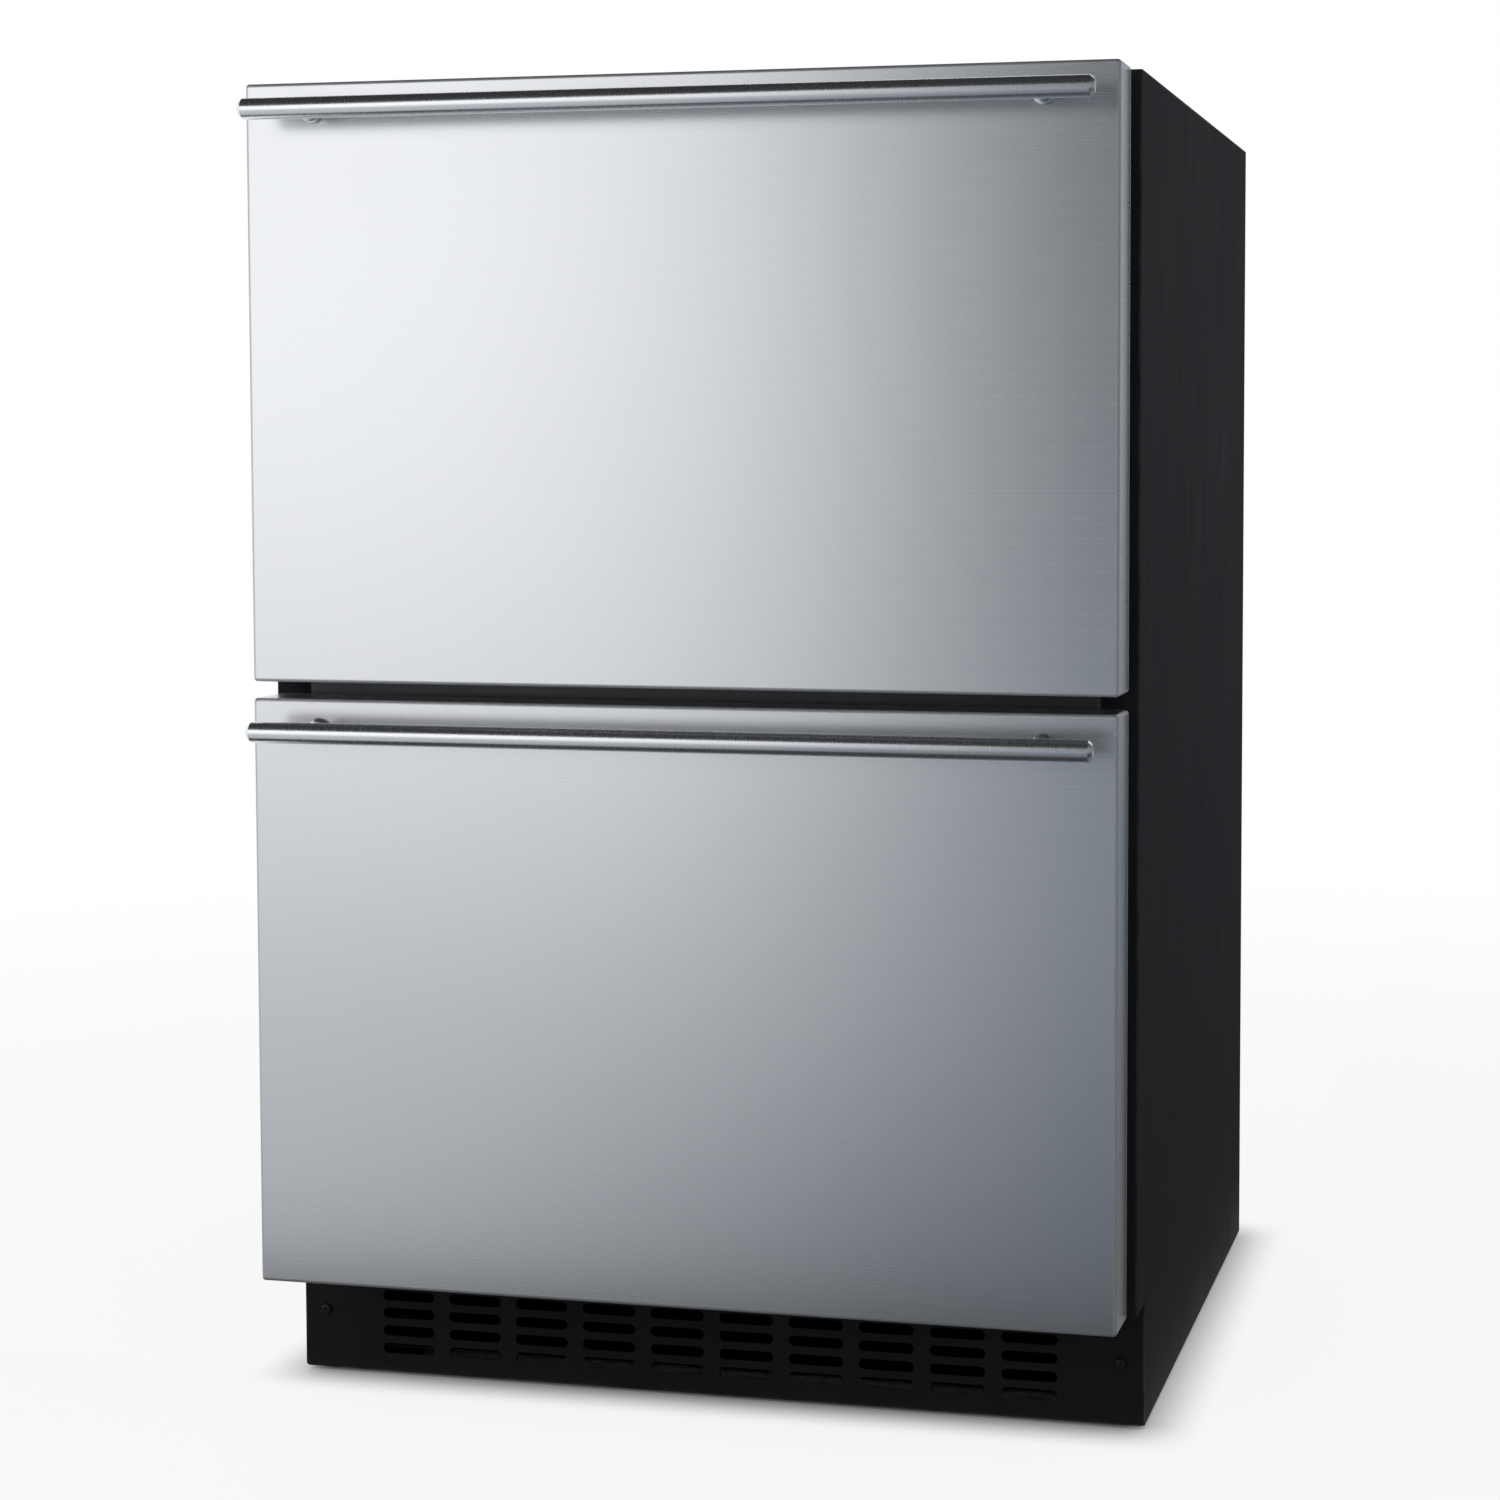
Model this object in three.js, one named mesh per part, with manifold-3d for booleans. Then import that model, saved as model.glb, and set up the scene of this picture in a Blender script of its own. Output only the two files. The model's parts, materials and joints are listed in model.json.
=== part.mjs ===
// Undercounter drawer refrigerator: a black steel cabinet with two drawers behind steel fronts,
// a slotted kick plate over the toe space, and the cooling machinery low at the back.
//
// Millimetres, +Z up. The pieces are worked out in the cabinet's frame: X from the middle, Y from
// the plane of the cabinet's front edge towards the back, Z from the floor. The whole group is then
// moved along Y, so that its origin is the bottom centre of the closed refrigerator's box.

import * as THREE from 'three';
import { mergeVertices } from 'three/addons/utils/BufferGeometryUtils.js';
import Module from 'manifold-3d';

// ---------------------------------------------------------------------------------------------
// Driving dimensions
// ---------------------------------------------------------------------------------------------

// Fits
const seat = 0.3; // between pieces that bear on each other
const runningGap = 0.5; // between pieces that slide in each other
const through = 5; // how far a cutting tool reaches past the face it cuts

// Cabinet
const cabinetWidth = 597;
const cabinetDepth = 540;
const overallHeight = 889;
const skinThickness = 1;
const frontFlange = 25;
const floorClearance = 3;
const linerThickness = 2;
const sideWall = 38;
const topWall = 45;
const backWall = 50;
const floorWall = 47;
const railHeight = 54;
const railDepth = 32;

// Toe space and kick plate
const toeHeight = 83;
const toeSetback = 33;
const kickThickness = 1.2;
const slotColumns = 10;
const slotRows = 5;
const slotLength = 38;
const slotWidth = 7;
const slotRowPitch = 12.5;
const slotMargin = 58.5;
const kickScrewInset = 16;
const screwHeadRadius = 4;
const screwHeadHeight = 2.4;
const screwShankRadius = 1.75;
const screwLength = 9;
const screwCrownRadius = 2.8;
const screwTabWidth = 22;

// Machine space
const machineDepth = 165;
const machineTop = 290;
const stepWall = 45;
const stepLean = 15;
const basePanHeight = 20;
const basePanThickness = 1.5;
const basePanLip = 14;

// Drawer fronts
const doorMargin = 5.5;
const doorThickness = 39;
const doorGap = 11;
const doorEdgeRadius = 2.2;
const doorEdgeFacets = 3;
const doorPanelField = 8;
const doorPanelMargin = 32;
const gasketThickness = 9;
const gasketWidth = 14;
const gasketInset = 6;
const gasketCornerRadius = 3.5;

// Handles
const barDiameter = 14;
const barEndInset = 11;
const barChamfer = 1.4;
const barReach = 30;
const barDrop = 20;
const postDiameter = 12;
const postInset = 37;

// Slides
const slideHeight = 42;
const slideWall = 1.5;
const slideThickness = 13;
const slideFrontInset = 5;
const slideBackGap = 20;
const hangerHeight = 26;

// Bins
const binWall = 3;
const binCornerRadius = 16;
const binRimReach = 9;
const binRimThickness = 3;
const binFloorGap = 7;
const binHeadroom = 50;
const binBackGap = 8;
const slideToStep = 24;

// Evaporator
const evaporatorSpace = 60;
const coverThickness = 2;
const coverSideGap = 10;
const coverTopGap = 24;
const evaporatorWidth = 380;
const evaporatorHeight = 190;
const evaporatorFins = 14;
const evaporatorFanRadius = 46;
const evaporatorFanTopInset = 90;
const ventWidth = 46;
const ventHeight = 8;
const ventPitch = 16;
const ventRows = 5;
const ventColumns = 3;
const ventColumnPitch = 74;
const ventsAboveCoverBottom = 145;
const evaporatorDepth = 36;

// Condenser, fans and compressor
const condenserWidth = 190;
const condenserDepth = 126;
const condenserHeight = 205;
const condenserFins = 14;
const condenserLegHeight = 12;
const condenserLegWidth = 24;
const finThickness = 1.4;
const finSpine = 5;
const condenserFanRadius = 54;
const shroudHeight = 150;
const shroudThickness = 3;
const fanTipGap = 4;
const fanBlades = 5;
const fanHubRadius = 17;
const fanHubLength = 16;
const fanBladeThickness = 1.6;
const fanBladePitch = 28; // degrees
const fanBladeChord = 28;
const smallFanBladeChord = 24;
const fanHubOverlap = 2;
const fanShaftRadius = 3;
const fanMotorRadius = 25;
const fanMotorLength = 34;
const fanArmWidth = 6;
const compressorRadius = 62;
const compressorHeight = 150;
const compressorFootWidth = 150;
const compressorFootDepth = 100;
const compressorFootThickness = 3;
const compressorDome = 22;
const compressorBend = 11;
const compressorCrownRadius = 30;
const grommetRadius = 8;
const grommetHeight = 12;
const dripPanHeight = 24;
const dripPanWall = 2;
const dripPanCornerRadius = 16;
const compressorSideGap = 15;
const condenserSideGap = 3;

// Rear cover and cord inlet
const louvreLength = 120;
const louvreWidth = 6;
const louvrePitch = 18;
const louvreRows = 8;
const louvreColumns = 3;
const louvreColumnPitch = 156;
const louvresAboveCoverBottom = 148;
const inletWidth = 28;
const inletHeight = 22;
const inletDepth = 20;
const inletWall = 2.5;
const inletFlange = 4;
const inletAboveCoverBottom = 36;
const inletSideInset = 30;

// Light and control
const lightLength = 300;
const lightWidth = 22;
const lightHeight = 8;
const lightCornerRadius = 5.5;
const controlWidth = 92;
const controlDepth = 70;
const controlHeight = 36;
const controlCornerRadius = 4;
const controlSideGap = 16.5;
const dialToLight = 3;
const dialRadius = 14;
const dialLength = 11;
const dialGripThickness = 6;
const dialGripLength = 7;

// Levelling feet
const footInset = 50;
const footPadRadius = 18;
const footPadHeight = 7;
const footPadEdge = 4;
const footCollarRadius = 9;
const footStudRadius = 5;
const footStudAbovePan = 8;

// Facets on round pieces
const fineFacets = 24;
const coarseFacets = 16;
const cornerDivisions = 2; // three.js gives a round corner or slot end twice as many facets

// ---------------------------------------------------------------------------------------------
// Places worked out from the driving dimensions
// ---------------------------------------------------------------------------------------------

const cabinetHalf = cabinetWidth / 2;
const cavityHalf = cabinetHalf - sideWall;
const flangeEdge = cabinetHalf - frontFlange - seat;
const underside = floorClearance + toeHeight;
const sideTop = overallHeight - skinThickness - seat;
const cavityFloor = underside + floorWall;
const cavityTop = overallHeight - topWall;
const cavityBack = cabinetDepth - backWall;
const backSheetFront = cabinetDepth - skinThickness;
const machineFront = cabinetDepth - machineDepth;
const stepFront = machineFront - stepWall;
const stepTop = machineTop + stepWall;
const coverFace = cavityBack - evaporatorSpace;
const basePanTop = basePanHeight + basePanThickness;
const machineFloor = basePanTop + seat;
const kickBack = toeSetback + kickThickness;

const doorWidth = cabinetWidth - 2 * doorMargin;
const doorHalf = doorWidth / 2;
const doorHeight = (overallHeight - underside - doorGap) / 2;
const doorBack = -gasketThickness;
const doorFace = doorBack - doorThickness;
const barY = doorFace - barReach;
const barLength = doorWidth - 2 * barEndInset;
const upperDoorBottom = underside + doorHeight + doorGap;
const railMiddle = upperDoorBottom - doorGap / 2;
const railBottom = railMiddle - railHeight / 2;
const railTop = railMiddle + railHeight / 2;

const slideEnd = coverFace - slideBackGap;
const slideLength = slideEnd - slideFrontInset;
const lowerSlideMiddle = stepTop + slideToStep + slideHeight / 2;
const upperSlideMiddle = cavityTop - binHeadroom - binRimThickness - seat - hangerHeight;
const binHalf = cavityHalf - slideThickness - 2 * seat;
const binFront = doorBack + doorPanelField + seat;

const frontmost = barY - barDiameter / 2;

// ---------------------------------------------------------------------------------------------
// Finishes
// ---------------------------------------------------------------------------------------------

function finish(color, roughness, metalness) {
  return new THREE.MeshStandardMaterial({ color, roughness, metalness });
}

const finishes = {
  frontSteel: () => finish(0xc4c7cc, 0.36, 1),
  barSteel: () => finish(0xb9bcc1, 0.25, 1),
  blackPaint: () => finish(0x26252a, 0.5, 0.2),
  blackPlastic: () => finish(0x17171a, 0.55, 0),
  gasket: () => finish(0x0c0c0d, 0.7, 0),
  zinc: () => finish(0xa9adb0, 0.4, 1),
  liner: () => finish(0xe6e8ea, 0.4, 0),
  bin: () => finish(0xd5dadd, 0.25, 0),
  foam: () => finish(0xe4d9a8, 0.9, 0),
  lens: () => finish(0xf4f6f8, 0.2, 0),
  fins: () => finish(0xb4b8bb, 0.45, 1),
  compressor: () => finish(0x121214, 0.4, 0.3),
};

// ---------------------------------------------------------------------------------------------
// Shape helpers
// ---------------------------------------------------------------------------------------------

const solids = await Module();
solids.setup();

// A closed geometry as a solid that can be joined and cut.
function toSolid(geometry) {
  const bare = geometry.clone();
  bare.deleteAttribute('normal');
  bare.deleteAttribute('uv');
  const merged = mergeVertices(bare);
  return new solids.Manifold(new solids.Mesh({
    numProp: 3,
    vertProperties: new Float32Array(merged.attributes.position.array),
    triVerts: new Uint32Array(merged.index.array),
  }));
}

function toGeometry(solid) {
  const { vertProperties, triVerts } = solid.getMesh();
  const geometry = new THREE.BufferGeometry();
  geometry.setAttribute('position', new THREE.BufferAttribute(vertProperties, 3));
  geometry.setIndex(new THREE.BufferAttribute(triVerts, 1));
  geometry.computeVertexNormals();
  return geometry;
}

function join(geometries) {
  return toGeometry(geometries.map(toSolid).reduce((whole, part) => whole.add(part)));
}

function cut(geometry, tools) {
  const whole = toSolid(geometry);
  return toGeometry(tools.map(toSolid).reduce((rest, tool) => rest.subtract(tool), whole));
}

// A block between two corners, each given as [x, y, z].
function block(low, high) {
  const size = high.map((value, axis) => value - low[axis]);
  const middle = high.map((value, axis) => (value + low[axis]) / 2);
  return new THREE.BoxGeometry(...size).translate(...middle);
}

function outline(points) {
  return new THREE.Shape(points.map(([u, v]) => new THREE.Vector2(u, v)));
}

function extruded(shape, depth) {
  const settings = { depth, bevelEnabled: false, curveSegments: cornerDivisions };
  return new THREE.ExtrudeGeometry(shape, settings);
}

// A shape drawn in X and Y, standing on z = 0.
function alongZ(shape, height) {
  return extruded(shape, height);
}

// A shape drawn in X and Z, running from y = 0 towards the back.
function alongY(shape, length) {
  return extruded(shape, length).rotateX(Math.PI / 2).translate(0, length, 0);
}

// A shape drawn in Y and Z, centred on x = 0.
function alongX(shape, length) {
  const axes = [new THREE.Vector3(0, 1, 0), new THREE.Vector3(0, 0, 1), new THREE.Vector3(1, 0, 0)];
  const turn = new THREE.Matrix4().makeBasis(...axes);
  return extruded(shape, length).applyMatrix4(turn).translate(-length / 2, 0, 0);
}

// A rectangle with round corners, centred on the origin.
function roundedRectangle(width, height, radius) {
  const [x, y] = [width / 2, height / 2];
  const shape = new THREE.Shape();
  shape.moveTo(x - radius, -y);
  shape.absarc(x - radius, -y + radius, radius, -Math.PI / 2, 0);
  shape.absarc(x - radius, y - radius, radius, 0, Math.PI / 2);
  shape.absarc(-x + radius, y - radius, radius, Math.PI / 2, Math.PI);
  shape.absarc(-x + radius, -y + radius, radius, Math.PI, Math.PI * 1.5);
  return shape;
}

// A slot with round ends, as a hole at [u, v] in a larger shape.
function slotHole(u, v, length, width) {
  const radius = width / 2;
  const straight = length / 2 - radius;
  const hole = new THREE.Path();
  hole.absarc(u + straight, v, radius, -Math.PI / 2, Math.PI / 2);
  hole.absarc(u - straight, v, radius, Math.PI / 2, Math.PI * 1.5);
  return hole;
}

// A round hole at [u, v] in a larger shape.
function roundHole(u, v, radius, facets = coarseFacets) {
  const points = Array.from({ length: facets }, (_, i) => {
    const angle = (2 * Math.PI * i) / facets;
    return new THREE.Vector2(u + radius * Math.cos(angle), v + radius * Math.sin(angle));
  });
  return new THREE.Path(points);
}

// The heights or places of a row of equal steps, centred on the middle.
function evenly(count, pitch, middle = 0) {
  return Array.from({ length: count }, (_, i) => middle + (i - (count - 1) / 2) * pitch);
}

// A round bar along Z from z = 0.
function rod(radius, length, facets = coarseFacets) {
  return new THREE.CylinderGeometry(radius, radius, length, facets)
    .rotateX(Math.PI / 2)
    .translate(0, 0, length / 2);
}

// A round bar along Y from y = 0.
function rodAlongY(radius, length, facets = coarseFacets) {
  return rod(radius, length, facets).rotateX(-Math.PI / 2);
}

function piece(name, geometry, material, position = [0, 0, 0]) {
  const mesh = new THREE.Mesh(geometry, material);
  mesh.name = name;
  mesh.position.set(...position);
  return mesh;
}

function group(children, position = [0, 0, 0]) {
  const parent = new THREE.Group();
  parent.position.set(...position);
  children.forEach((child) => parent.add(child));
  return parent;
}

// ---------------------------------------------------------------------------------------------
// Cabinet shell
// ---------------------------------------------------------------------------------------------

// The hollow of the liner in Y and Z, grown outwards on every closed side; the front stays open.
function cavityProfile(grow, front) {
  return outline([
    [front, cavityFloor - grow],
    [stepFront + grow, cavityFloor - grow],
    [stepFront + stepLean + grow, stepTop - grow],
    [cavityBack + grow, stepTop - grow],
    [cavityBack + grow, cavityTop + grow],
    [front, cavityTop + grow],
  ]);
}

// A side sheet with its return at the front, notched for the toe space.
function sidePanel(name, side) {
  const flange = frontFlange * side;
  const skin = skinThickness * side;
  const plan = outline([
    [0, 0],
    [0, cabinetDepth],
    [-skin, cabinetDepth],
    [-skin, skinThickness],
    [-flange, skinThickness],
    [-flange, 0],
  ]);
  const sheet = alongZ(plan, sideTop - floorClearance);
  const toeSpace = block(
    [-frontFlange - through, -through, -through],
    [frontFlange + through, kickBack + seat, toeHeight],
  );
  const place = [side * cabinetHalf, 0, floorClearance];
  return piece(name, cut(sheet, [toeSpace]), finishes.blackPaint(), place);
}

// The top sheet, turned down at the front between the side sheets' flanges.
function topPanel() {
  const bottom = sideTop + seat;
  const sheet = block([-cabinetHalf, 0, bottom], [cabinetHalf, cabinetDepth, overallHeight]);
  const front = block(
    [-flangeEdge, 0, overallHeight - frontFlange],
    [flangeEdge, skinThickness, overallHeight],
  );
  return piece('top_panel', join([sheet, front]), finishes.blackPaint());
}

function backPanel() {
  const half = cabinetHalf - skinThickness - seat;
  const sheet = block([-half, 0, 0], [half, skinThickness, sideTop - machineTop]);
  return piece('back_panel', sheet, finishes.blackPaint(), [0, backSheetFront, machineTop]);
}

// The sheet under the insulation: front return, floor, leaning step and roof of the machine space.
function undersidePanel() {
  const back = backSheetFront - seat;
  const t = skinThickness;
  const profile = outline([
    [0, underside],
    [machineFront, underside],
    [machineFront + stepLean, machineTop],
    [back, machineTop],
    [back, machineTop + t],
    [machineFront + stepLean - t, machineTop + t],
    [machineFront - t, underside + t],
    [t, underside + t],
    [t, underside + frontFlange],
    [0, underside + frontFlange],
  ]);
  const width = 2 * flangeEdge;
  return piece('underside_panel', alongX(profile, width), finishes.blackPaint());
}

// The liner: a stepped box, open in front, whose lip meets the flanges of the outer sheets.
function innerLiner() {
  const t = linerThickness;
  const outer = alongX(cavityProfile(t, 0), 2 * (cavityHalf + t));
  const lip = block(
    [-flangeEdge, 0, underside + frontFlange + seat],
    [flangeEdge, t, overallHeight - frontFlange - seat],
  );
  const hollow = alongX(cavityProfile(0, -through), 2 * cavityHalf);
  const railSeat = block(
    [-cabinetHalf, -through, railBottom - seat],
    [cabinetHalf, t + seat, railTop + seat],
  );
  return piece('inner_liner', cut(join([outer, lip]), [hollow, railSeat]), finishes.liner());
}

// Foam fills the room between the outer sheets and the liner.
function insulationFoam() {
  const t = skinThickness;
  const front = linerThickness + seat;
  const back = backSheetFront - seat;
  const low = underside + t + seat;
  const high = machineTop + t + seat;
  const outer = outline([
    [front, low],
    [machineFront - t - seat, low],
    [machineFront + stepLean - t - seat, high],
    [back, high],
    [back, sideTop],
    [front, sideTop],
  ]);
  const whole = alongX(outer, 2 * (cabinetHalf - t - seat));
  const gap = linerThickness + seat;
  const room = alongX(cavityProfile(gap, -through), 2 * (cavityHalf + gap));
  return piece('insulation_foam', cut(whole, [room]), finishes.foam());
}

// The rail between the drawers: a wide face in the plane of the flanges, and a deep bar behind it.
function centreRail() {
  const face = block([-flangeEdge, 0, 0], [flangeEdge, linerThickness, railHeight]);
  const bar = block([seat - cavityHalf, 0, 0], [cavityHalf - seat, railDepth, railHeight]);
  return piece('centre_rail', join([face, bar]), finishes.blackPaint(), [0, 0, railBottom]);
}

// ---------------------------------------------------------------------------------------------
// Toe space, base and feet
// ---------------------------------------------------------------------------------------------

const kickHeight = toeHeight - seat;
const screwX = cabinetHalf - kickScrewInset;
const screwZ = floorClearance + kickHeight / 2;
const screwHoleRadius = screwShankRadius + seat;

function kickGrille() {
  const plate = outline([
    [-cabinetHalf, 0],
    [cabinetHalf, 0],
    [cabinetHalf, kickHeight],
    [-cabinetHalf, kickHeight],
  ]);
  const pitch = (cabinetWidth - 2 * slotMargin - slotLength) / (slotColumns - 1);
  for (const u of evenly(slotColumns, pitch)) {
    for (const v of evenly(slotRows, slotRowPitch, kickHeight / 2)) {
      plate.holes.push(slotHole(u, v, slotLength, slotWidth));
    }
  }
  plate.holes.push(...[-screwX, screwX].map((u) => roundHole(u, kickHeight / 2, screwHoleRadius)));
  const place = [0, toeSetback, floorClearance];
  return piece('kick_grille', alongY(plate, kickThickness), finishes.blackPaint(), place);
}

// A pan-head screw: the head bears on the kick plate, the shank passes the plate and the tab.
function kickScrew(name, side) {
  const half = screwHeadHeight / 2;
  const profile = [
    [0, -screwHeadHeight],
    [screwCrownRadius, -screwHeadHeight],
    [screwHeadRadius, -half],
    [screwHeadRadius, 0],
    [screwShankRadius, 0],
    [screwShankRadius, screwLength],
    [0, screwLength],
  ].map(([r, y]) => new THREE.Vector2(r, y));
  const screw = new THREE.LatheGeometry(profile, coarseFacets);
  return piece(name, screw, finishes.blackPaint(), [side * screwX, toeSetback - seat, screwZ]);
}

const feetPlaces = [
  ['levelling_foot_front_left', -1, kickBack + footInset],
  ['levelling_foot_front_right', 1, kickBack + footInset],
  ['levelling_foot_rear_left', -1, cabinetDepth - footInset],
  ['levelling_foot_rear_right', 1, cabinetDepth - footInset],
];
const footX = cabinetHalf - footInset;

// The floor of the machine space, with lips at the sides, tabs for the kick screws and foot holes.
function basePan() {
  const half = cabinetHalf - skinThickness - seat;
  const front = kickBack + seat;
  const back = backSheetFront - seat;
  const t = basePanThickness;
  const plate = block([-half, front, basePanHeight], [half, back, basePanTop]);
  const lips = [-1, 1].map((side) => {
    const edges = [side * half, side * (half - t)].sort((a, b) => a - b);
    return block([edges[0], front, basePanHeight], [edges[1], back, basePanTop + basePanLip]);
  });
  const tabs = [-1, 1].map((side) => {
    const edges = [side * (screwX - screwTabWidth / 2), side * (screwX + screwTabWidth / 2)];
    const [low, high] = edges.sort((a, b) => a - b);
    return block([low, front, basePanHeight], [Math.min(high, half), front + t, screwZ + screwTabWidth / 2]);
  });
  const footHoles = feetPlaces.map(([, side, y]) => rod(footStudRadius + seat, basePanTop + through)
    .translate(side * footX, y, 0));
  const screwHoles = [-1, 1].map((side) => rodAlongY(screwHoleRadius, screwLength + through)
    .translate(side * screwX, toeSetback, screwZ));
  const pan = cut(join([plate, ...lips, ...tabs]), [...footHoles, ...screwHoles]);
  return piece('base_pan', pan, finishes.zinc());
}

// A foot: a pad on the floor, a collar that bears under the base pan, and a stud through it.
function levellingFoot([name, side, y]) {
  const collarTop = basePanHeight - seat;
  const profile = [
    [0, 0],
    [footPadRadius, 0],
    [footPadRadius, footPadEdge],
    [footCollarRadius, footPadHeight],
    [footCollarRadius, collarTop],
    [footStudRadius, collarTop],
    [footStudRadius, basePanTop + footStudAbovePan],
    [0, basePanTop + footStudAbovePan],
  ].map(([r, z]) => new THREE.Vector2(r, z));
  const foot = new THREE.LatheGeometry(profile, coarseFacets).rotateX(Math.PI / 2);
  return piece(name, foot, finishes.blackPlastic(), [side * footX, y, 0]);
}

// ---------------------------------------------------------------------------------------------
// Fans
// ---------------------------------------------------------------------------------------------

// A blade wheel about Z: a hub with a shaft bore, and flat pitched blades trimmed to one circle.
function fanWheel(name, tipRadius, chord) {
  const hub = rod(fanHubRadius, fanHubLength, fineFacets).translate(0, 0, -fanHubLength / 2);
  const bladeSpan = tipRadius - fanHubRadius / 2;
  const blades = evenly(fanBlades, 2 * Math.PI / fanBlades).map((angle) => (
    new THREE.BoxGeometry(bladeSpan, chord, fanBladeThickness)
      .rotateX(THREE.MathUtils.degToRad(fanBladePitch))
      .translate(tipRadius - bladeSpan / 2, 0, 0)
      .rotateZ(angle)));
  const disc = rod(tipRadius, tipRadius * 2, fineFacets);
  const outside = cut(rod(tipRadius * 2, tipRadius * 2, fineFacets), [disc]).translate(0, 0, -tipRadius);
  const bore = rod(fanShaftRadius + seat, fanHubLength + through)
    .translate(0, 0, -(fanHubLength + through) / 2);
  const hubRoom = rod(fanHubRadius - fanHubOverlap, tipRadius * 2, fineFacets).translate(0, 0, -tipRadius);
  const trimmed = blades.map((blade) => cut(blade, [outside, hubRoom]));
  return piece(name, cut(join([hub, ...trimmed]), [bore]), finishes.blackPlastic());
}

// A motor behind the wheel, its shaft in the hub's bore; it reaches back to its carrier at z = reach.
function fanMotor(name, reach, arms) {
  const front = fanHubLength / 2 + seat;
  const body = rod(fanMotorRadius, reach - front, fineFacets).translate(0, 0, front);
  const shaft = rod(fanShaftRadius, fanHubLength).translate(0, 0, front - fanHubLength + seat);
  return piece(name, join([body, shaft, ...arms]), finishes.blackPlastic());
}

// ---------------------------------------------------------------------------------------------
// Cooling inside the cavity
// ---------------------------------------------------------------------------------------------

const coverBottom = stepTop + seat;
const coverHeight = cavityTop - coverTopGap - coverBottom;
const coverHalf = cavityHalf - coverSideGap;
const evaporatorFanZ = cavityTop - evaporatorFanTopInset;

// The duct cover: a face with side returns to the liner's back, a fan hole and rows of vents.
function evaporatorCover() {
  const depth = evaporatorSpace - seat;
  const t = coverThickness;
  const plan = outline([
    [-coverHalf, depth],
    [-coverHalf, 0],
    [coverHalf, 0],
    [coverHalf, depth],
    [coverHalf - t, depth],
    [coverHalf - t, t],
    [t - coverHalf, t],
    [t - coverHalf, depth],
  ]);
  const shell = alongZ(plan, coverHeight);
  const fanHole = rodAlongY(evaporatorFanRadius + fanTipGap, t + 2 * through, fineFacets)
    .translate(0, -through, evaporatorFanZ - coverBottom);
  const vent = ([x, z]) => block(
    [x - ventWidth / 2, -through, z - ventHeight / 2],
    [x + ventWidth / 2, t + through, z + ventHeight / 2],
  );
  const rows = evenly(ventRows, ventPitch, ventsAboveCoverBottom);
  const vents = evenly(ventColumns, ventColumnPitch).flatMap((x) => rows.map((z) => vent([x, z])));
  const cover = cut(shell, [fanHole, ...vents]);
  return piece('evaporator_cover', cover, finishes.liner(), [0, coverFace, coverBottom]);
}

// A block of upright fins on one spine, as an outline in X and Y: [0, 0] is the spine's left end.
function finnedOutline(width, depth, fins) {
  const pitch = (width - finThickness) / (fins - 1);
  const points = [[0, depth], [0, 0]];
  for (let i = 0; i < fins - 1; i += 1) {
    const left = i * pitch + finThickness;
    const right = (i + 1) * pitch;
    points.push([left, 0], [left, depth - finSpine], [right, depth - finSpine], [right, 0]);
  }
  points.push([width, 0], [width, depth]);
  return outline(points);
}

function evaporatorCoil() {
  const fins = finnedOutline(evaporatorWidth, evaporatorDepth, evaporatorFins);
  const coil = alongZ(fins, evaporatorHeight);
  const place = [-evaporatorWidth / 2, cavityBack - seat - evaporatorDepth, coverBottom + seat];
  return piece('evaporator_coil', coil, finishes.fins(), place);
}

// The wheel turns in the cover's hole; its motor stands on the liner's back wall.
function evaporatorFan() {
  const wheelY = coverFace + coverThickness + fanHubLength / 2;
  const reach = cavityBack - seat - wheelY;
  const fan = group([
    fanWheel('evaporator_fan_blade', evaporatorFanRadius, smallFanBladeChord),
    fanMotor('evaporator_fan_motor', reach, []),
  ], [0, wheelY, evaporatorFanZ]);
  fan.rotation.x = -Math.PI / 2;
  return fan;
}

function lightBar() {
  const place = [0, railDepth + lightWidth / 2, cavityTop - seat - lightHeight];
  const lens = alongZ(roundedRectangle(lightLength, lightWidth, lightCornerRadius), lightHeight);
  return piece('light_bar', lens, finishes.lens(), place);
}

const controlX = controlSideGap + controlWidth / 2 - cavityHalf;
const dialFront = railDepth + lightWidth + dialToLight;
const controlFront = dialFront + dialLength + seat;

function controlHousing() {
  const box = alongZ(roundedRectangle(controlWidth, controlDepth, controlCornerRadius), controlHeight);
  const place = [controlX, controlFront + controlDepth / 2, cavityTop - seat - controlHeight];
  return piece('control_housing', box, finishes.liner(), place);
}

// A dial with two flats to grip, facing the front.
function thermostatDial() {
  const knob = rodAlongY(dialRadius, dialLength, fineFacets);
  const sides = [-1, 1].map((side) => {
    const [low, high] = [side * dialGripThickness / 2, side * dialRadius * 2].sort((a, b) => a - b);
    return block([low, -through, -dialRadius * 2], [high, dialGripLength, dialRadius * 2]);
  });
  const place = [controlX, dialFront, cavityTop - seat - controlHeight / 2];
  return piece('thermostat_dial', cut(knob, sides), finishes.blackPlastic(), place);
}

// ---------------------------------------------------------------------------------------------
// Machine space
// ---------------------------------------------------------------------------------------------

const machineMiddleY = (machineFront + stepLean + backSheetFront) / 2;
const condenserX = skinThickness + seat + basePanThickness + condenserSideGap - cabinetHalf;
const shroudX = condenserX + condenserWidth + fanHubLength / 2 + fanTipGap;
const fanZ = machineFloor + shroudHeight / 2;
const compressorX = cabinetHalf - skinThickness - compressorSideGap - compressorFootWidth / 2;
const canBottom = machineFloor + grommetHeight;

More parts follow.
